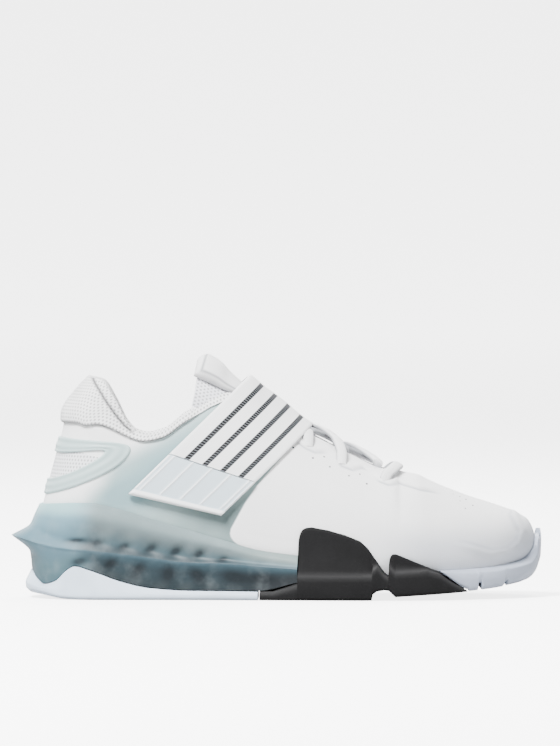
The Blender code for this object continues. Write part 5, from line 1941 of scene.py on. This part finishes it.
@dataclass
class Lacing:
    """Lace through the eyelets: a bar at the front, crossed strands over the tongue, and the hidden ones."""

    form: ShoeForm
    width: float = 0.0064
    flat: float = 0.0032
    rows: tuple[float, ...] = (0.190, 0.1697, 0.1499, 0.131, 0.116)
    eyelet_heights: tuple[float, ...] = (0.0672, 0.0757, 0.0862)
    points: int = 54
    turns: int = 20
    hole_depth: float = 0.0034

    def strand(
        self,
        ends: tuple[float, float],
        reach: tuple[float, float],
        side: int,
        lift: tuple[float, float],
        dips: tuple[float, float],
        bulge: float = 0.0,
    ) -> Array:
        """Middle line of one strand.

        Args:
            ends: Distance of both ends from the upper's back.
            reach: How far past the throat's edge each end lies, in metres.
            side: The side that it starts from, -1 or 1.
            lift: Height over the edge, and further rise over the tongue.
            dips: How deep each end goes down into its hole.
            bulge: How far the middle swings forward.

        Returns:
            The line's points.
        """
        form = self.form
        t = np.linspace(0, 1, self.points)
        across = side * np.cos(np.pi * t)
        x = form.heel_back + ends[0] + (ends[1] - ends[0]) * smooth(0.12, 0.88, t) + bulge * np.sin(np.pi * t)
        hole = form.rim_half(form.rim_share(x))
        width = across * (hole + reach[0] * (1 - t) + reach[1] * t)
        surface = form.section_height(x, np.maximum(np.abs(width), hole), np.where(width < 0, -1, 1))
        deep = dips[0] * (1 - smooth(0.0, 0.12, t)) + dips[1] * smooth(0.86, 1.0, t)
        return form.place(np.stack([x, width, surface + lift[0] + lift[1] * (1 - across**2) - deep], -1))

    def reach_to(self, row: float, height: float) -> float:
        """Distance from the throat's edge down to an eyelet, measured across the shoe."""
        x = np.array([self.form.heel_back + row])
        hole = self.form.rim_half(self.form.rim_share(x))
        return float((self.form.section_half(x, np.array([height]), -1) - hole)[0])

    def cord(self, path: Array, plump: float) -> tuple[Array, Array]:
        """A flat cord along a path: a superellipse of width by thickness, plumper near its ends.

        Args:
            path: Its middle line.
            plump: How much thicker it gets at its ends.

        Returns:
            Its points, and the metres along it.
        """
        step = np.gradient(path, axis=0)
        step /= np.linalg.norm(step, axis=1, keepdims=True)
        slope = np.array([[0.9, 0, -0.43]])
        side = slope - np.sum(slope * step, axis=1, keepdims=True) * step
        side /= np.linalg.norm(side, axis=1, keepdims=True)
        rise = np.cross(side, step)
        t = np.linspace(0, 1, len(path))[:, None]
        turns = np.linspace(0, 2 * np.pi, self.turns, endpoint=False)[None, :]
        end = np.exp(-((np.minimum(t, 1 - t) / 0.14) ** 2)) * plump
        across = self.width / 2 * (1 - 0.10 * end) * np.sign(np.cos(turns)) * np.abs(np.cos(turns)) ** 0.8
        tall = self.flat / 2 * (1 + 0.5 * end) * np.sign(np.sin(turns)) * np.abs(np.sin(turns)) ** 0.8
        loops = path[:, None] + side[:, None] * across[..., None] + rise[:, None] * tall[..., None]
        return loops, travel(path, 0)

    def build(self) -> list[bpy.types.Object]:
        """Makes one piece for each crossing.

        Returns:
            The pieces.
        """
        # seam: the colour between the yarns, and of the cord's painted shade
        white, seam = tone(240, 241, 243), tone(176, 179, 184)
        cloth = Cloth("lace_weave", Weave.WEBBING, white, seam, 0.75, True).dress()
        made, sunk = [], self.hole_depth
        eyelets = [self.reach_to(row, height) for row, height in zip(self.rows, self.eyelet_heights)]
        front = self.rows[0] + 0.0015
        bar = self.strand((front, front), (eyelets[0], eyelets[0]), -1, (0.0022, 0.0012), (sunk, sunk), 0.009)
        crossings = [[bar]]
        hidden, deep = -0.0040, 0.0024
        shown = (
            (0.0012, (0.0026, 0.0016), (0.0, deep), 0.0014),
            (eyelets[1], (0.0022, 0.0026), (sunk, deep), 0.0014),
            (hidden, (0.0003, -0.0040), (0.0, 0.0), 0.0),
            (hidden, (0.0003, -0.0040), (0.0, 0.0), 0.0),
        )
        for start, end, (near, lift, dips, over) in zip(self.rows, self.rows[1:], shown):
            ends = start - 0.001, end + 0.001
            crossings.append([
                self.strand(ends, (near, hidden), side, (lift[0], lift[1] + shift), dips)
                for side, shift in ((-1, over), (1, -over))
            ])
        last, reach = self.rows[2], (eyelets[2], -0.013)
        for side in (-1, 1):
            whole = self.strand((last, last - 0.003), reach, side, (0.0018, -0.0010), (sunk, 0.0))
            crossings[2].append(whole[: self.points // 2])
        for number, strands in enumerate(crossings, 1):
            cords = [self.cord(path, 0.7 if number < 4 else 0.0) for path in strands]
            grids = [loops for loops, _ in cords]
            around = np.linspace(0, 2 * self.width, self.turns)
            turn = np.linspace(0, 2 * np.pi, self.turns, endpoint=False)
            # painted shade: the cord darker on its sides and underside, by its angle round
            shade = 0.75 * (1 - np.clip(np.sin(turn) * 1.3, 0, 1)) ** 1.5
            marks = {
                "around": np.concatenate([np.broadcast_to(around, grid.shape[:2]) for grid in grids]),
                "shade": np.concatenate([np.broadcast_to(shade, grid.shape[:2]) for grid in grids]),
                "up": np.repeat(np.concatenate([far for _, far in cords])[:, None], self.turns, 1),
            }
            cross = piece(f"lace_run_{number}", grids, loop_columns=True, caps=True, marks=marks, sharp=80.0)
            cross.data.materials.append(cloth)
            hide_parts(f"lace_{number}")
            made.append(cross)
        return made


@dataclass
class Punched:
    """Small holes punched through the film: a dark dished disc for each, on both sides of the shoe."""

    form: ShoeForm
    places: tuple[tuple[float, float, float], ...] = (
        (8.8, 84.9, 0.62), (19.9, 79.1, 0.55), (26.2, 79.6, 0.55), (29.4, 74.1, 0.55), (40.1, 69.1, 0.55),
        (46.2, 69.8, 0.55), (50.1, 64.7, 0.55), (95.0, 57.0, 0.5), (98.8, 57.9, 0.5), (98.6, 52.7, 0.5),
        (102.5, 54.3, 0.5), (102.5, 56.5, 0.5), (106.0, 55.0, 0.5), (105.5, 50.4, 0.5), (109.8, 51.8, 0.5),
    )
    dish: tuple[tuple[float, float], ...] = (
        (0.02, -0.0002), (1.0, -0.0002), (1.0, 0.0), (0.75, 0.00012), (0.02, 0.00012),
    )
    turns: int = 14
    lift: float = 0.00035

    def wall(self, x: Array, z: Array, side: int) -> Array:
        """Points of the outer face under places in side view."""
        width = side * self.form.section_half(x, z, side)
        return self.form.place(np.stack([x, width, z], -1))

    def build(self) -> bpy.types.Object:
        """Makes all the discs as one mesh: rings about each place, along the wall's own two directions.

        Returns:
            The piece.
        """
        grids, nudge = [], 0.0006
        turns = np.linspace(0, 2 * np.pi, self.turns, endpoint=False)
        for side in (-1, 1):
            for x, z, radius in self.places:
                at = np.array([x * MM, x * MM + nudge, x * MM]), np.array([z * MM, z * MM, z * MM - nudge])
                middle, ahead, below = self.wall(at[0], at[1], side)
                one = (ahead - middle) / np.linalg.norm(ahead - middle)
                two = (below - middle) - one * np.dot(below - middle, one)
                two /= np.linalg.norm(two)
                out = np.cross(one, two)
                out *= np.sign(out[1] * side) or 1.0
                ring = np.cos(turns)[:, None] * one + np.sin(turns)[:, None] * two
                foot = middle + out * self.lift
                levels = [foot + ring * radius * MM * wide + out * high for wide, high in self.dish]
                grids.append(np.stack(levels, 0))
        holes = piece("punched_holes", grids, loop_columns=True, caps=True)
        dark = Moulded("hole_shadow", tone(104, 106, 112), tone(88, 90, 96), 0.8, 0.0, 0.0)
        holes.data.materials.append(dark.dress())
        return holes


@dataclass
class Studio:
    """Pale floor, soft lights, and the long-lens camera level with the shoe's lateral side."""

    target: tuple[float, float, float] = (0.0019, 0.0, 0.1261)
    elevation: float = 1.5
    distance: float = 6.0
    view_width: float = 0.3158
    sensor: float = 36.0
    sweep: float = 2.25
    aim_height: float = 0.05
    glow: float = 5.5

    def camera(self) -> None:
        """Places the camera: its lens is the sensor's width times distance over the width that it frames."""
        data = bpy.data.cameras.new("view")
        data.sensor_fit = "HORIZONTAL"
        data.sensor_width = self.sensor
        data.lens = self.sensor * self.distance / self.view_width
        data.clip_end = 20.0
        item = bpy.data.objects.new("view", data)
        tilt = np.radians(self.elevation)
        item.location = (
            self.target[0],
            self.target[1] - self.distance * float(np.cos(tilt)),
            self.target[2] + self.distance * float(np.sin(tilt)),
        )
        item.rotation_euler = (np.pi / 2 - tilt, 0, 0)
        bpy.context.collection.objects.link(item)
        bpy.context.scene.camera = item

    def light(self, name: str, place: tuple[float, float, float], size: float, power: float) -> None:
        """One square area light that faces the shoe.

        Args:
            name: Its name.
            place: Where it stands.
            size: Its side.
            power: Watts.
        """
        data = bpy.data.lights.new(name, "AREA")
        data.size, data.energy = size, power
        item = bpy.data.objects.new(name, data)
        item.location = place
        aim = np.array([0.0, 0.0, self.aim_height]) - np.array(place)
        flat = float(np.hypot(aim[0], aim[1]))
        item.rotation_euler = (float(np.arctan2(flat, -aim[2])), 0.0, float(np.arctan2(-aim[0], aim[1])))
        bpy.context.collection.objects.link(item)

    def floor(self) -> None:
        """A wide pale sweep: flat under the shoe and curved up far behind it.

        It looks paler to the camera than the light it gives: only the wall behind glows on the shoe.
        """
        across = np.linspace(-4, 4, 9)[:, None]
        along = np.linspace(-4, 6, 60)[None, :]
        bend = np.clip(along - 3.0, 0, None)
        x, y = np.broadcast_arrays(across, np.minimum(along, 3.0) + np.sin(np.minimum(bend, 1.57)))
        z = np.broadcast_to(1 - np.cos(np.minimum(bend, 1.57)) + np.clip(bend - 1.57, 0, None), x.shape)
        mesh = bpy.data.meshes.new("floor")
        points = np.stack([x, y, z], -1) * self.sweep - np.array([0, 0, 0.0001])
        mesh.from_pydata(points.reshape(-1, 3).tolist(), [], quads(*x.shape, False, False).tolist())
        mesh.shade_smooth()
        item = bpy.data.objects.new("floor", mesh)
        bpy.context.collection.objects.link(item)
        graph = Graph("pale_floor")
        place = graph.node("ShaderNodeTexCoord", {}, {}, "Object")
        height = graph.node("ShaderNodeSeparateXYZ", {}, {0: place}, 2)
        seen = graph.node("ShaderNodeLightPath", {}, {}, "Is Camera Ray")
        wall = graph.mix(height.step(0.0, 0.6 * self.sweep), (0.0, 0.0, 0.0), (1.0, 1.0, 1.0))
        glow = graph.mix(seen, wall, (0.65, 0.65, 0.65))
        colour = graph.mix(seen, (0.48, 0.48, 0.485), (0.92, 0.92, 0.92))
        plain = {"Roughness": 0.9, "Specular IOR Level": 0.0, "Emission Strength": self.glow}
        mesh.materials.append(graph.finish(plain, Base_Color=colour, Emission_Color=glow))

    def world(self) -> None:
        """Even pale surroundings."""
        world = bpy.data.worlds.new("studio")
        world.use_nodes = True
        world.node_tree.nodes["Background"].inputs[0].default_value = (1.0, 1.0, 1.0, 1.0)
        world.node_tree.nodes["Background"].inputs[1].default_value = 0.3
        bpy.context.scene.world = world

    def build(self) -> None:
        """Sets the stage, the lights and the camera."""
        self.camera()
        self.floor()
        self.world()
        self.light("key", (-0.9, -1.3, 2.0), 0.8, 250.0)
        self.light("fill", (1.7, -1.4, 0.8), 1.2, 20.0)
        self.light("back", (0.1, 1.3, 1.7), 1.2, 60.0)


def fitted_form() -> ShoeForm:
    """The form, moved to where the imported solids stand.

    Returns:
        The form whose upper, on a coarse grid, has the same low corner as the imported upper.
    """
    form = ShoeForm()
    a = np.linspace(-1, 1, 64, endpoint=False)[:, None]
    v = np.concatenate([[-1, -0.5], np.linspace(0, 1, 9)])[None, :]
    coarse = form.place(form.face(a, v)).reshape(-1, 3).min(0)
    low = np.array(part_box("upper")[0])
    shift = low - coarse
    shift[2] = 0.0
    return ShoeForm(shift=tuple(float(value) for value in shift))


def main() -> None:
    """Loads the frame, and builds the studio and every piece."""
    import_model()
    form = fitted_form()
    LOG.info("form moved by %s", np.round(np.array(form.shift) / MM, 3))
    Studio().build()
    wedge = Wedge(form)
    makers = (
        Upper(form), Collar(form), HeelFrame(form), wedge, Treads(form, wedge),
        Inside(form), Strap(form), Lacing(form), Punched(form),
    )
    for maker in makers:
        made = maker.build()
        for item in made if isinstance(made, list) else [made]:
            LOG.info("%s: %d faces", item.name, len(item.data.polygons))


if __name__ == "__main__":
    logging.basicConfig(level=logging.INFO, format="%(name)s %(message)s")
    main()
